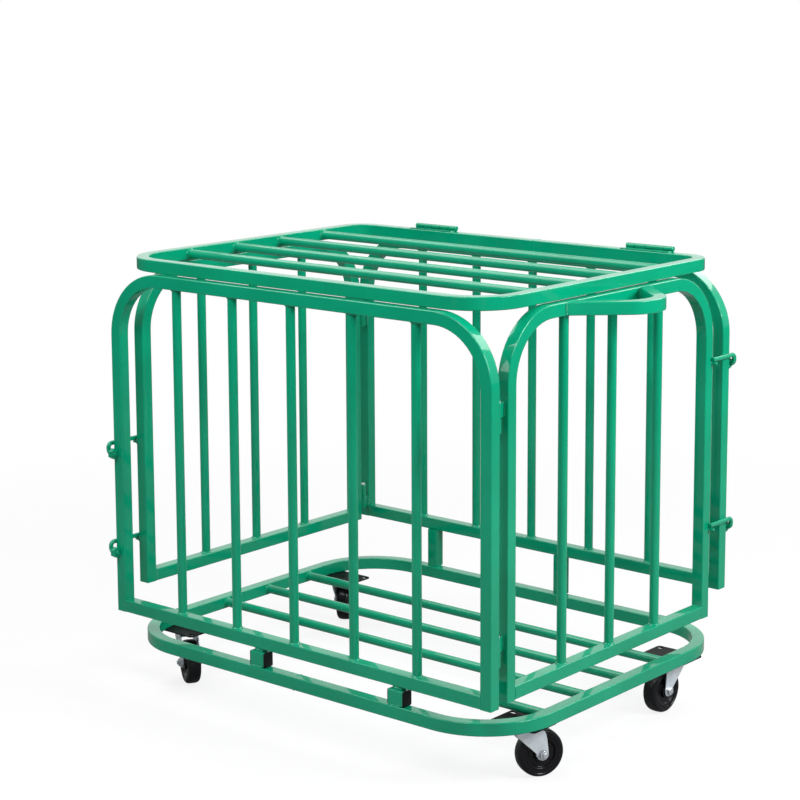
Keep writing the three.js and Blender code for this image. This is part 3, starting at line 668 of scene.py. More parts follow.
def grille(name, rail_start, rail_end, bar_feet):
    """Bottom rail with its upright bars and the beads at the rail's ends."""
    rail_start, rail_end = Vector(rail_start), Vector(rail_end)
    way = (rail_end - rail_start).normalized()
    across = UP.cross(way)
    parts = [square_tube(name, rail_start, rail_end)]
    for x, y in bar_feet:
        parts.append(welded_bar(f"{name}_bar", (x, y, rail_start.z + TUBE / 2), (x, y, BAR_HEAD)))
    for end, inward in ((rail_start, way), (rail_end, -way)):
        for side in (-1, 1):
            edge = end + across * side * (TUBE / 2 - SIDE_BEAD_SINK) + inward * RAIL_BEAD_IN
            half = UP * RAIL_BEAD_HALF
            parts.append(weld_bead(f"{name}_bead", edge - half, edge + half, SIDE_BEAD_RADIUS))
        top = end + UP * (TUBE / 2 - TOP_BEAD_SINK) + inward * RAIL_BEAD_IN
        half = across * RAIL_BEAD_HALF
        parts.append(weld_bead(f"{name}_bead", top - half, top + half, TOP_BEAD_RADIUS))
    return finished(join(parts), green_enamel)


for name, place, bottom in (("front", stay, PANEL_BOTTOM), ("back", half_round, RAISED_BOTTOM)):
    rail_z = bottom + TUBE / 2
    start = place((FRONT_LEFT_FOOT.x + TUBE / 2, FRONT_LEFT_FOOT.y, rail_z))
    end = place((FRONT_RIGHT_FOOT.x - TUBE / 2, FRONT_RIGHT_FOOT.y, rail_z))
    feet = [place((x, FRONT_LEFT_FOOT.y, 0)).xy for x in LONG_BAR_PLACES]
    fit(grille(f"{name}_grille_bars", start, end, feet), "cart", "enamel", f"{name}_grille")

# Door hinge pins: plain zinc-plated pins with a flat head, dropped through each pair of knuckles.
PIN_STATIONS = [
    (0, 0.0028), (0.0008, 0.0035), (0.0487, 0.0035), (0.0487, 0.0052), (0.0492, 0.0055),
    (0.0506, 0.0055), (0.0514, 0.0050), (0.0517, 0.0040),
]
SPANGLE_SCALE = 230
ZINC_PATCH_SCALE = 60
ZINC_PATCH_SPAN = (0.35, 0.7)
BRUSHING_SCALE = 900
ZINC_ROUGHNESS = (0.26, 0.42)
ZINC_BUMP = 0.06
ZINC_RELIEF = 0.0005


def zinc_group():
    """Zinc plate: faint spangle, fine brushing and a few duller patches."""
    group, entry, leave = film_group("zinc plate", {
        "Vector": "NodeSocketVector", "Bright": "NodeSocketColor", "Dull": "NodeSocketColor",
    })
    vector = entry.outputs["Vector"]
    spangle = group.nodes.new("ShaderNodeTexVoronoi")
    spangle.inputs["Scale"].default_value = SPANGLE_SCALE
    group.links.new(vector, spangle.inputs["Vector"])
    patches = link_range(group, link_noise(group, vector, ZINC_PATCH_SCALE, 4), *ZINC_PATCH_SPAN, 0, 1)
    colour = link_mix(group, patches, entry.outputs["Bright"], entry.outputs["Dull"])
    rough = link_range(group, spangle.outputs["Distance"], 0, 1, *ZINC_ROUGHNESS)
    group.links.new(colour, leave.inputs["Colour"])
    group.links.new(rough, leave.inputs["Roughness"])
    group.links.new(link_noise(group, vector, BRUSHING_SCALE, 3), leave.inputs["Height"])
    return group


zinc_plate = zinc_group()


def zinc(name, bright, dull, metallic):
    """Zinc-plated steel."""
    settings = {"Bright": (*bright, 1), "Dull": (*dull, 1)}
    material, shader = film_material(name, zinc_plate, settings, ZINC_BUMP, ZINC_RELIEF)
    shader.inputs["Metallic"].default_value = metallic
    return material


bright_zinc = zinc("bright zinc", (0.86, 0.92, 0.97), (0.72, 0.79, 0.86), metallic=0.45)

for name, place in (("front", stay), ("back", half_round)):
    axis = place(DOOR_AXIS)
    for level, height in DOOR_HINGE_HEIGHTS.items():
        foot = (axis.x, axis.y, PANEL_BOTTOM + height - KNUCKLE_LENGTH)
        pin = finished(turned(f"{name}_door_pin_{level}", foot, UP, PIN_STATIONS), bright_zinc)
        fit(pin, "cart", "zinc", f"{name}_hinge_pin_{level}")

# End panels: hoops like the long ones, each hung on one corner as a door. Their knuckles sit on
# top of the long panels' knuckles, and a short keeper peg on the far leg carries each latch bar.
END_HINGE_FOOT = Vector((0.36905, -0.2869, PANEL_BOTTOM))
END_LATCH_FOOT = Vector((0.36905, 0.2823, PANEL_BOTTOM))
END_LEG_FACE = -0.2979
KNUCKLE_GAP = 0.0004
LATCH_RISE = 0.017
KEEPER_PLACE = Vector((0.3793, 0.2898, 0))
KEEPER_DROP = 0.0097
KEEPER_LIFT = 0.0024
KEEPER_SIDES = 16
KEEPER_STATIONS = [(0, 0.003), (0.0098, 0.003), (0.0104, 0.0028), (0.0117, 0.0019)]
KEEPER_WELD_STATIONS = [(0.0004, 0.0049), (0.0012, 0.0046), (0.0021, 0.0034), (0.0024, 0.003)]


def end_panel_frame(name, place, bottom, latch_pivots):
    """Hoop of an end panel with its knuckles and keeper pegs."""
    feet = (END_HINGE_FOOT, END_LATCH_FOOT)
    parts = hinged_hoop(name, place, feet, bottom, END_LEG_FACE, KNUCKLE_GAP)
    way = place((1, 0, 0)) - place((0, 0, 0))
    for level, z in latch_pivots.items():
        peg = place((KEEPER_PLACE.x, KEEPER_PLACE.y, z + LATCH_RISE - KEEPER_DROP + KEEPER_LIFT))
        parts.append(turned(f"{name}_keeper_{level}", peg, way, KEEPER_STATIONS, KEEPER_SIDES))
        parts.append(turned(f"{name}_keeper_weld_{level}", peg, way, KEEPER_WELD_STATIONS, KEEPER_SIDES))
    return finished(join(parts), green_enamel)


right_frame = end_panel_frame("right_end_hoop", stay, PANEL_BOTTOM, BACK_LATCH_PIVOTS)
fit(right_frame, "right_door", "enamel", "right_end_frame")
left_frame = end_panel_frame("left_end_hoop", half_round, RAISED_BOTTOM, FRONT_LATCH_PIVOTS)
fit(left_frame, "left_door", "enamel", "left_end_frame")
for side, place, bottom in (("right", stay, PANEL_BOTTOM), ("left", half_round, RAISED_BOTTOM)):
    rail_z = bottom + TUBE / 2
    start = place((END_HINGE_FOOT.x, END_HINGE_FOOT.y + TUBE / 2, rail_z))
    end = place((END_LATCH_FOOT.x, END_LATCH_FOOT.y - TUBE / 2, rail_z))
    feet = [place((END_HINGE_FOOT.x, y, 0)).xy for y in END_BAR_PLACES]
    end_grille = grille(f"{side}_end_grille_bars", start, end, feet)
    fit(end_grille, f"{side}_door", "enamel", f"{side}_end_grille")

# Bow handle: square tube bent outwards on the right end panel's top rail, its two splayed feet
# cut flush with the rail's outer face and welded. Enamelled.
HANDLE_FACE_X = 0.38005
HANDLE_MIDDLE_Y = -0.0279
HANDLE_REACH = 0.0845
HANDLE_FOOT = 0.104
HANDLE_GRIP = 0.026
HANDLE_BEND = 0.052
HANDLE_Z = PANEL_TOP - TUBE / 2
HANDLE_ROOT = 0.02
HANDLE_BEAD_RADIUS = 0.0025
HANDLE_BEAD_HALF = 0.0095
HANDLE_BEAD_OUT = 0.0004
HANDLE_BEAD_LUMPS = 0.0005

slope = (HANDLE_FOOT - HANDLE_GRIP) / HANDLE_REACH
root = (HANDLE_FACE_X - HANDLE_ROOT, HANDLE_FOOT + slope * HANDLE_ROOT)
grip = (HANDLE_FACE_X + HANDLE_REACH, HANDLE_GRIP)
handle_corners = [
    Vector((x, HANDLE_MIDDLE_Y + side * spread, HANDLE_Z))
    for side, (x, spread) in ((-1, root), (-1, grip), (1, grip), (1, root))
]
handle = tube_mouth("bow_handle", handle_corners[0], handle_corners[1] - handle_corners[0])
draw(handle_corners, [HANDLE_BEND] * 2)
close_up(handle)
bpy.ops.object.mode_set(mode="EDIT")
bpy.ops.mesh.select_all(action="SELECT")
bpy.ops.mesh.bisect(plane_co=(HANDLE_FACE_X, 0, 0), plane_no=(-1, 0, 0), clear_outer=True, use_fill=True)
close_up(handle)
parts = [handle]
bead_x = HANDLE_FACE_X + HANDLE_BEAD_OUT
for side in (-1, 1):
    foot_y = HANDLE_MIDDLE_Y + side * HANDLE_FOOT
    for outer in (-1, 1):
        edge_y = foot_y + side * outer * TUBE / 2 * math.sqrt(1 + slope * slope)
        ends = [(bead_x, edge_y, HANDLE_Z + end * HANDLE_BEAD_HALF) for end in (-1, 1)]
        parts.append(weld_bead("handle_bead", *ends, HANDLE_BEAD_RADIUS, HANDLE_BEAD_LUMPS))
fit(finished(join(parts), green_enamel), "right_door", "enamel", "door_handle")

# Latch bars: round rod bent to a crank. One end turns in the nut on the long panel's corner, the
# arm lies across the corner gap on its keeper peg, and it is swung up to free the end panel.
ROD_RADIUS = 0.004
ROD_SIDES = 20
ROD_BEND_STEPS = 8
ROD_EDGE = 0.0011
LATCH_PLANE_X = -0.46885
LATCH_TIP_Y = -0.2863
LATCH_ROD_END_X = -0.45155
LATCH_BEND = 0.007


def latch_rod(name, place, pivot_z):
    """Cranked rod with rounded ends."""
    arm_z = pivot_z + LATCH_RISE
    corners = [
        place((LATCH_ROD_END_X, LATCH_PIVOT.y, pivot_z)),
        place((LATCH_PLANE_X, LATCH_PIVOT.y, pivot_z)),
        place((LATCH_PLANE_X, LATCH_PIVOT.y, arm_z)),
        place((LATCH_PLANE_X, LATCH_TIP_Y, arm_z)),
    ]
    rod = round_mouth(name, corners[0], corners[1] - corners[0], ROD_RADIUS, ROD_SIDES)
    draw(corners, [LATCH_BEND] * 2, ROD_BEND_STEPS)
    close_up(rod)
    return finished(polished_edges(rod, ROD_EDGE, angle=60, segments=3), green_enamel)


for side, place, pivots in (("front", stay, FRONT_LATCH_PIVOTS), ("back", half_round, BACK_LATCH_PIVOTS)):
    for level, z in pivots.items():
        rod = latch_rod(f"{side}_latch_rod_{level}", place, z)
        fit(rod, f"{side}_latch_bar_{level}", "enamel", f"{side}_latch_bar_{level}")

# Lid: a ring of square tube like the base, with four round bars welded across it lengthwise.
# It lies on the panels' top rails and turns up on two butt hinges at its back rail.
LID_LOW = Vector((-0.46645, -0.3313, 0.7703))
LID_HIGH = Vector((0.36455, 0.3227, 0.7923))
LID_FRONT_BEND = 0.090
LID_BACK_BEND = 0.052
LID_BAR_PLACES = (-0.1683, -0.0483, 0.0717, 0.1917)
LID_SEAM_X = -0.0176

seam_y = LID_HIGH.y - TUBE / 2
welded_ring("lid_ring", "lid", LID_LOW, LID_HIGH, (LID_FRONT_BEND, LID_BACK_BEND), LID_SEAM_X, seam_y)
cross_bars("lid", "lid", LID_LOW, LID_HIGH, LID_BAR_PLACES)

# Lid hinges: steel butt hinges, one leaf welded on the lid's back rail and the other on the inner
# face of the back panel's top rail, with five knuckles between them on a steel pin. Painted over.
HINGE_PLACES = {"left": -0.26845, "right": 0.22455}
LEAF_LENGTH = 0.100
LEAF_THICK = 0.0013
HINGE_AXIS_Y = 0.32565
HINGE_AXIS_Z = 0.7971
LEAF_EDGE = 0.0004
LEAF_GAP = 0.0004
LEAF_KNUCKLES = 5
LEAF_KNUCKLE_RADIUS = 0.0045
LEAF_KNUCKLE_END = ((0, 0.0040), (0.0004, LEAF_KNUCKLE_RADIUS))
LEAF_KNUCKLE_SIDES = 24
TONGUE_LAP = 0.001
LID_LEAF_FRONT = 0.3037
LID_LEAF_Z = 0.7926
LID_LEAF_BEAD = 0.013
WALL_LEAF_Y = 0.3247
WALL_LEAF_BOTTOM = 0.7493
WALL_LEAF_BEAD = 0.015
LEAF_BEAD_RADIUS = 0.0015
LEAF_BEAD_START = 0.002
LEAF_BEAD_OUT = 0.0002
HINGE_PIN_OUT = 0.0003
HINGE_PIN_END = ((0, 0.0018), (0.0002, 0.0024))


def leaf_plate(name, low, high):
    """Flat leaf with rounded edges between two corners."""
    low, high = Vector(low), Vector(high)
    return block(name, (low + high) / 2, high - low, LEAF_EDGE)


def on_lid(x, reach, lift):
    """Point of the leaf that lies on the lid's rail and reaches back to the pin."""
    return (x, reach, LID_LEAF_Z + lift)


def on_wall(x, reach, lift):
    """Point of the leaf that stands on the back panel and reaches up to the pin."""
    return (x, WALL_LEAF_Y + lift, reach)


def leaf(name, x, first, spot, root, axis, bead_end, bead_lift):
    """Hinge leaf from its root to the pin's axis: plate, every second knuckle and its beads."""
    half = LEAF_LENGTH / 2
    pitch = LEAF_LENGTH / LEAF_KNUCKLES
    plate_end = axis - (LEAF_KNUCKLE_RADIUS + LEAF_GAP)
    parts = [leaf_plate(name, spot(x - half, root, 0), spot(x + half, plate_end, LEAF_THICK))]
    for index in range(first, LEAF_KNUCKLES, 2):
        low = x - half + index * pitch + (LEAF_GAP / 2 if index else 0)
        high = x - half + (index + 1) * pitch - (LEAF_GAP / 2 if index < LEAF_KNUCKLES - 1 else 0)
        parts.append(turned(
            f"{name}_knuckle", (low, HINGE_AXIS_Y, HINGE_AXIS_Z), (1, 0, 0),
            like_ends(LEAF_KNUCKLE_END, high - low), LEAF_KNUCKLE_SIDES,
        ))
        tongue_start = spot(low, plate_end - TONGUE_LAP, 0)
        parts.append(leaf_plate(f"{name}_tongue", tongue_start, spot(high, axis, LEAF_THICK)))
    for side in (-1, 1):
        end_x = x + side * (half + LEAF_BEAD_OUT)
        ends = [spot(end_x, root + reach, bead_lift) for reach in (LEAF_BEAD_START, bead_end)]
        parts.append(weld_bead(f"{name}_bead", *ends, LEAF_BEAD_RADIUS))
    return finished(join(parts), green_enamel)


for side, x in HINGE_PLACES.items():
    lid_leaf = leaf(f"{side}_lid_leaf", x, 1, on_lid, LID_LEAF_FRONT, HINGE_AXIS_Y, LID_LEAF_BEAD, 0)
    fit(lid_leaf, "lid", "enamel", f"lid_hinge_leaf_{side}")
    wall_leaf = leaf(
        f"{side}_wall_leaf", x, 0, on_wall, WALL_LEAF_BOTTOM, HINGE_AXIS_Z, WALL_LEAF_BEAD, LEAF_THICK
    )
    fit(wall_leaf, "cart", "enamel", f"lid_hinge_wall_leaf_{side}")
    pin_start = (x - LEAF_LENGTH / 2 - HINGE_PIN_OUT, HINGE_AXIS_Y, HINGE_AXIS_Z)
    pin_stations = like_ends(HINGE_PIN_END, LEAF_LENGTH + 2 * HINGE_PIN_OUT)
    pin = turned(f"{side}_lid_pin", pin_start, (1, 0, 0), pin_stations, LEAF_KNUCKLE_SIDES)
    fit(finished(pin, green_enamel), "cart", "zinc", f"lid_hinge_pin_{side}")

# Swivel casters: a slotted black plate with a pressed ball race, a rivet as kingpin, a fork folded
# from one zinc-plated sheet, and a moulded wheel on a bolt. Each is drawn with the kingpin on the
# Z axis and the wheel trailing along X, then copied to its corner and turned to its rest.
CASTERS = {
    "front_right": (0.35735, -0.2249, 62),
    "front_left": (-0.41665, -0.2249, -31),
    "back_right": (0.35735, 0.2077, -92),
    "back_left": (-0.41665, 0.2077, 120),
}
CASTER_TOP = 0.095
AXLE = Vector((0.028, 0, -0.055))


def caster_copy(pattern, name, x, y, turn):
    """A copy with its own mesh, at one corner."""
    piece = pattern.copy()
    piece.data = pattern.data.copy()
    piece.name = name
    piece.data.name = name
    bpy.context.scene.collection.objects.link(piece)
    turned_round = Matrix.Rotation(math.radians(turn), 4, "Z")
    piece.data.transform(Matrix.Translation((x, y, CASTER_TOP)) @ turned_round)
    return piece


# Caster plate: stamped from sheet with rounded corners and four bolt slots, the race pressed below.
PLATE_SIZE = (0.092, 0.065)
PLATE_THICK = 0.0025
PLATE_CORNER = 0.007
PLATE_CORNER_STEPS = 5
PLATE_EDGE = 0.0004
SLOT_SPACING = (0.075, 0.045)
SLOT_RADIUS = 0.004
SLOT_STRETCH = 0.0025
SLOT_SIDES = 24
SLOT_NUDGE = 0.00001
CUTTER_BOTTOM = -0.006
CUTTER_STATIONS = [(0, SLOT_RADIUS), (0.012, SLOT_RADIUS)]
RACE_SIDES = 48
RACE_STATIONS = [
    (0, 0.0215), (0, 0.0225), (0.0006, 0.0234), (0.0016, 0.0240), (0.0030, 0.0240), (0.0040, 0.0234),
    (0.0045, 0.0222), (0.0045, 0.0105),
]

bpy.ops.mesh.primitive_plane_add(size=1, location=(0, 0, -PLATE_THICK))
plate = bpy.context.object
plate.scale = (*PLATE_SIZE, 1)
settle("caster_plate_pattern")
bpy.ops.object.mode_set(mode="EDIT")
bpy.ops.mesh.select_all(action="SELECT")
bpy.ops.mesh.bevel(offset=PLATE_CORNER, segments=PLATE_CORNER_STEPS, affect="VERTICES")
bpy.ops.mesh.select_all(action="SELECT")
run(UP * PLATE_THICK)
close_up(plate)
cutters = []
for side_x in (-1, 1):
    for side_y in (-1, 1):
        spot = Vector((side_x * SLOT_SPACING[0] / 2, side_y * SLOT_SPACING[1] / 2, CUTTER_BOTTOM))
        cutter = turned("slot_cutter", spot, UP, CUTTER_STATIONS, SLOT_SIDES)
        for vertex in cutter.data.vertices:
            vertex.co.x += math.copysign(SLOT_STRETCH, vertex.co.x - spot.x + SLOT_NUDGE)
        cutters.append(cutter)
cutter = join(cutters)
only(plate)
bpy.ops.object.modifier_add(type="BOOLEAN")
plate.modifiers[-1].object = cutter
plate.modifiers[-1].operation = "DIFFERENCE"
apply_last(plate)
bpy.data.objects.remove(cutter)
polished_edges(plate, PLATE_EDGE, angle=50)
race = turned("caster_race", (0, 0, -PLATE_THICK), -UP, RACE_STATIONS, RACE_SIDES)
plate_black = painted(
    "plate black", (0.006, 0.007, 0.008), (0.011, 0.011, 0.012),
    gloss=0.42, peel=0.1, specular=0.08, coat=0.0,
)
plate = finished(join([plate, race]), plate_black)

# Kingpin: a rivet through the plate and the fork's crown, its domed head below the crown.
KINGPIN_SIDES = 32
KINGPIN_STATIONS = [
    (0, 0.0040), (0.0008, 0.0050), (0.0099, 0.0050), (0.0100, 0.0086), (0.0106, 0.0090),
    (0.0113, 0.0088), (0.0119, 0.0076), (0.0123, 0.0055), (0.0125, 0.0025),
]
kingpin = turned("kingpin_pattern", (0, 0, 0), -UP, KINGPIN_STATIONS, KINGPIN_SIDES)
finished(kingpin, bright_zinc)

# Fork: one strip folded down at both sides, each leg swept back in front, upright behind, and
# narrowed to a round tip that holds the axle. A station is a height, a width and a middle.
FORK_SHEET = 0.0022
FORK_OUTER = 0.0169
FORK_FOLD = 0.0035
FORK_FOLD_STEPS = 6
FORK_EDGE = 0.0005
CROWN_Z = -0.0084
CROWN_LENGTH = 0.0470
CROWN_MIDDLE_X = 0.0005
FORK_STATIONS = [
    (-0.0150, 0.0510, 0.0045), (-0.0220, 0.0490, 0.0090), (-0.0315, 0.0412, 0.0146),
    (-0.0425, 0.0305, 0.02125), (-0.0515, 0.0219, 0.02645), (-0.0650, 0.0198, 0.0280),
]
FORK_TIP_RADIUS = 0.0098
FORK_TIP_STEPS = 8

half_width = FORK_OUTER - FORK_SHEET / 2 - FORK_FOLD
bpy.ops.mesh.primitive_plane_add(size=1, location=(CROWN_MIDDLE_X, half_width / 2, CROWN_Z))
fork = bpy.context.object
fork.scale = (CROWN_LENGTH, half_width, 1)
settle("caster_fork_pattern")
bpy.ops.object.mode_set(mode="EDIT")
bpy.ops.mesh.select_mode(type="EDGE")
bpy.ops.mesh.select_all(action="DESELECT")
bpy.ops.object.mode_set(mode="OBJECT")
for edge in fork.data.edges:
    ends = [fork.data.vertices[index].co.y for index in edge.vertices]
    edge.select = min(ends) > half_width / 2
bpy.ops.object.mode_set(mode="EDIT")
bend((0, half_width, CROWN_Z - FORK_FOLD), (-1, 0, 0), math.pi / 2, FORK_FOLD_STEPS)
leg_y = half_width + FORK_FOLD
spot = Vector((CROWN_MIDDLE_X, leg_y, CROWN_Z - FORK_FOLD))
width = CROWN_LENGTH
for z, next_width, middle_x in FORK_STATIONS:
    target = Vector((middle_x, leg_y, z))
    run(target - spot)
    bpy.ops.transform.resize(value=(next_width / width, 1, 1), center_override=target)
    spot, width = target, next_width
bpy.ops.mesh.bevel(offset=FORK_TIP_RADIUS, segments=FORK_TIP_STEPS, affect="VERTICES")
bpy.ops.object.mode_set(mode="OBJECT")
bpy.ops.object.modifier_add(type="MIRROR")
fork.modifiers[-1].use_axis = (False, True, False)
apply_last(fork)
bpy.ops.object.mode_set(mode="EDIT")
close_up(fork)
bpy.ops.object.modifier_add(type="SOLIDIFY")
fork.modifiers[-1].thickness = FORK_SHEET
fork.modifiers[-1].offset = 0
apply_last(fork)
finished(polished_edges(fork, FORK_EDGE, angle=50), bright_zinc)

# Wheel: moulded black plastic with a crowned tread, a raised rim, two grooves in each face and a
# long hub that is bored for the bolt.
WHEEL_SIDES = 64
HUB_WALL = 0.0063
HUB_FACE_Y = 0.0134
HUB_MIDDLE = 0.002
WHEEL_HALF = [
    (0.0135, 0.0105), (0.0135, 0.0120), (0.0130, 0.0127), (0.0092, 0.0130), (0.0080, 0.0140),
    (0.0076, 0.0160), (0.0076, 0.0222), (0.0082, 0.0232), (0.0106, 0.0244), (0.0114, 0.0256),
    (0.0115, 0.0276), (0.0108, 0.0281), (0.0108, 0.0289), (0.0118, 0.0296), (0.0122, 0.0318),
    (0.0116, 0.0324), (0.0116, 0.0333), (0.0122, 0.0340), (0.0118, 0.0368), (0.0103, 0.0386),
    (0.0078, 0.0396), (0.0038, 0.0400),
]


def hub_end(middle, normal):
    """Whether a face is one of the two round ends of the hub."""
    flat = abs(normal.y) > STRAIGHT and abs(middle.y) > HUB_FACE_Y
    return flat and (middle - AXLE).xz.length < HUB_MIDDLE


near_half = [(-reach, radius) for reach, radius in WHEEL_HALF]
wheel = turned("caster_wheel_pattern", AXLE, (0, 1, 0), near_half + WHEEL_HALF[::-1], WHEEL_SIDES)
pick(wheel, hub_end)
bpy.ops.mesh.inset(thickness=HUB_WALL)
bpy.ops.mesh.bridge_edge_loops()
bpy.ops.object.mode_set(mode="OBJECT")
wheel_black = painted(
    "wheel black", (0.003, 0.003, 0.0045), (0.006, 0.006, 0.008),
    gloss=0.28, peel=0.06, specular=0.22, coat=0.12,
)
finished(wheel, wheel_black)

# Axle: a zinc-plated bolt through fork and wheel, with a hexagon head at one side and a nut on its
# washer, with the thread's end standing out, at the other.
HEX_RADIUS = 0.0075
HEAD_FACE_Y = 0.0172
HEAD_STATIONS = [(0, HEX_RADIUS), (0.0040, HEX_RADIUS), (0.0050, 0.0063)]
AXLE_NUT_STATIONS = [(0, 0.0066), (0.0007, HEX_RADIUS), (0.0043, HEX_RADIUS), (0.0050, 0.0064)]
WASHER_FACE_Y = 0.0170
WASHER_SIDES = 32
WASHER_STATIONS = [(0, 0.0082), (0.0003, 0.0086), (0.0009, 0.0086), (0.0011, 0.0082)]
SHAFT_END_Y = -0.0247
SHAFT_LENGTH = 0.0420
SHAFT_SIDES = 24
THREAD_CREST = 0.0040
THREAD_ROOT = 0.0036
THREAD_PITCH = 0.0010
THREAD_TURNS = 5
THREAD_TIP = [(0, 0.0034), (0.0006, THREAD_CREST)]

shaft_stations = list(THREAD_TIP)
for number in range(1, THREAD_TURNS + 1):
    reach = number * THREAD_PITCH
    shaft_stations += [(reach, THREAD_ROOT), (reach + THREAD_PITCH / 2, THREAD_CREST)]
shaft_stations.append((SHAFT_LENGTH, THREAD_CREST))
axle_parts = [
    turned(name, (AXLE.x, y, AXLE.z), (0, way, 0), stations, sides)
    for name, y, way, stations, sides in (
        ("caster_axle_pattern", HEAD_FACE_Y, 1, HEAD_STATIONS, HEX_SIDES),
        ("axle_nut", -HEAD_FACE_Y, -1, AXLE_NUT_STATIONS, HEX_SIDES),
        ("axle_shaft", SHAFT_END_Y, 1, shaft_stations, SHAFT_SIDES),
        ("axle_washer", -WASHER_FACE_Y, -1, WASHER_STATIONS, WASHER_SIDES),
    )
]
axle_zinc = zinc("axle zinc", (0.66, 0.70, 0.74), (0.45, 0.48, 0.52), metallic=0.6)
axle = finished(join(axle_parts), axle_zinc)

for corner, (x, y, turn) in CASTERS.items():
    for pattern, piece_name, body, slot, node, angle in (
        (plate, "plate_stamping", "cart", "black_plate", "caster_plate", 0),
        (kingpin, "kingpin_rivet", "cart", "zinc", "caster_kingpin", 0),
        (fork, "fork_sheet", f"caster_{corner}", "zinc", "caster_fork", turn),
        (axle, "axle_bolt", f"caster_{corner}", "zinc", "caster_axle", turn),
        (wheel, "wheel_moulding", f"wheel_{corner}", "wheel", "caster_wheel", turn),
    ):
        piece = caster_copy(pattern, f"{corner}_{piece_name}", x, y, angle)
        fit(piece, body, slot, f"{node}_{corner}")
for pattern in (plate, kingpin, fork, axle, wheel):
    bpy.data.objects.remove(pattern)

# Studio: a pale floor that fades into a white backdrop, soft lamps and a long lens that looks at
# the cart from its right front corner.
LENS = 95.37
SHIFT_Y = -0.12
CAMERA_PLACE = (2.3128, -2.8454, 1.2853)
CAMERA_TURN = [math.radians(angle) for angle in (81.107, 0.246, 40.119)]
FLOOR_SIZE = 24
FLOOR_WHITE = 0.84
FLOOR_ROUGHNESS = 0.9
FLOOR_SPECULAR = 0.1
FLOOR_SEEN = (0.88, 0.88, 0.88, 1)
FLOOR_BOUNCE = (0.3, 0.3, 0.3, 1)
FADE_START = 0.9
FADE_END = 2.2
BACKDROP_WAY = (-0.626, 0.776, 0.1)
SKY_COLOUR = (0.95, 0.98, 1.0, 1)
SKY_NEAR = 0.10
SKY_FAR = 0.35
SKY_SPAN = (-0.2, 0.7)
MIRROR_NEAR = 0.22
MIRROR_SPAN = (0.1, 0.9)
LAMPS = (
    ("key", (2.1, 0.25, 1.6), (0, 0, 0.5), 0.9, 0.9, 50),
    ("fill", (-1.2, -2.9, 1.6), (0, 0, 0.5), 0.9, 0.9, 9),
    ("top", (0.2, -1.7, 2.1), (0, 0, 0.5), 0.8, 0.8, 20),
    ("back", (0.6, 2.3, 2.5), (0.3, -0.3, 0.7), 2.2, 1.0, 34),
    ("left", (-1.3, -0.5, 2.5), (0.37, -0.3, 0.7), 2.2, 1.0, 28),
    ("front_glint", (-0.15, -3.24, 0.5), (0.3, -0.3, 0.78), 0.3, 0.1, 2.4),
    ("side_glint", (2.6, -2.16, 0.5), (0.3, -0.3, 0.78), 0.3, 0.1, 2.4),
    ("spark", (1.2, -1.8, 2.8), (0.3, -0.3, 0.7), 0.7, 0.25, 16),
)

bpy.ops.object.camera_add(location=CAMERA_PLACE, rotation=CAMERA_TURN)
camera = bpy.context.object
camera.name = "camera"
camera.data.lens = LENS
camera.data.shift_y = SHIFT_Y
bpy.context.scene.camera = camera
bpy.context.scene.view_settings.view_transform = "Standard"


def link_seen(tree, mirrored=0.0):
    """1 where the camera or a ray through glass looks, and a share of it in mirrors."""
    path = tree.nodes.new("ShaderNodeLightPath")
    in_mirror = link_math(tree, "MULTIPLY", path.outputs["Is Glossy Ray"], mirrored)
    through_glass = path.outputs["Is Transmission Ray"]
    direct = link_math(tree, "MAXIMUM", path.outputs["Is Camera Ray"], through_glass)
    return link_math(tree, "MAXIMUM", direct, in_mirror)


def white_where_seen(tree, shader_socket, share, output):
    """Mixes plain white over a surface on its way out; the share is a socket."""
    white = tree.nodes.new("ShaderNodeEmission")
    mix = tree.nodes.new("ShaderNodeMixShader")
    tree.links.new(share, mix.inputs["Fac"])
    tree.links.new(shader_socket, mix.inputs[1])
    tree.links.new(white.outputs["Emission"], mix.inputs[2])
    tree.links.new(mix.outputs["Shader"], tree.nodes[output].inputs["Surface"])


def link_measure(tree, operation, vector, way=(0, 0, 0)):
    """A vector's length, or how far it points one way."""
    node = tree.nodes.new("ShaderNodeVectorMath")
    node.operation = operation
    tree.links.new(vector, node.inputs[0])
    node.inputs[1].default_value = way
    return node.outputs["Value"]


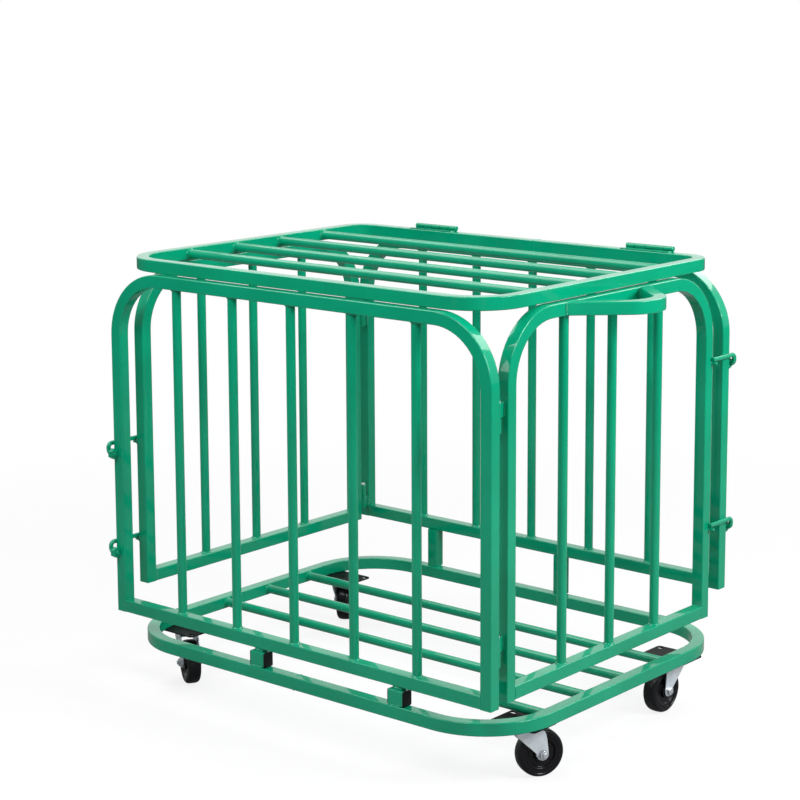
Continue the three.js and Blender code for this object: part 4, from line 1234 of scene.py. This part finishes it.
bpy.ops.mesh.primitive_plane_add(size=FLOOR_SIZE, location=(0, 0, 0))
floor = settle("floor")
floor_paint = bpy.data.materials.new("floor")
floor_paint.use_nodes = True
floor_tree = floor_paint.node_tree
floor_shader = floor_tree.nodes["Principled BSDF"]
floor_colour = link_mix(floor_tree, link_seen(floor_tree), FLOOR_BOUNCE, FLOOR_SEEN)
floor_tree.links.new(floor_colour, floor_shader.inputs["Base Color"])
floor_shader.inputs["Roughness"].default_value = FLOOR_ROUGHNESS
floor_shader.inputs["Specular IOR Level"].default_value = FLOOR_SPECULAR
floor_place = floor_tree.nodes.new("ShaderNodeTexCoord")
distance = link_measure(floor_tree, "LENGTH", floor_place.outputs["Object"])
fade = link_range(floor_tree, distance, FADE_START, FADE_END, FLOOR_WHITE, 1.0)
white_share = link_math(floor_tree, "MULTIPLY", fade, link_seen(floor_tree))
white_where_seen(floor_tree, floor_shader.outputs["BSDF"], white_share, "Material Output")
floor.data.materials.append(floor_paint)

world = bpy.data.worlds.new("studio")
bpy.context.scene.world = world
world.use_nodes = True
sky_tree = world.node_tree
sky = sky_tree.nodes["Background"]
sky.inputs["Color"].default_value = SKY_COLOUR
sky_place = sky_tree.nodes.new("ShaderNodeTexCoord")
behind = link_measure(sky_tree, "DOT_PRODUCT", sky_place.outputs["Generated"], BACKDROP_WAY)
glow = link_range(sky_tree, behind, *SKY_SPAN, SKY_NEAR, SKY_FAR)
sky_tree.links.new(glow, sky.inputs["Strength"])
mirrored = link_range(sky_tree, behind, *MIRROR_SPAN, MIRROR_NEAR, 1.0)
white_where_seen(sky_tree, sky.outputs["Background"], link_seen(sky_tree, mirrored), "World Output")

for name, place, aim, width, height, watts in LAMPS:
    bpy.ops.object.light_add(type="AREA", location=place)
    lamp = bpy.context.object
    lamp.name = name
    lamp.data.shape = "RECTANGLE"
    lamp.data.size = width
    lamp.data.size_y = height
    lamp.data.energy = watts
    lamp.rotation_euler = (Vector(aim) - Vector(place)).to_track_quat("-Z", "Y").to_euler()
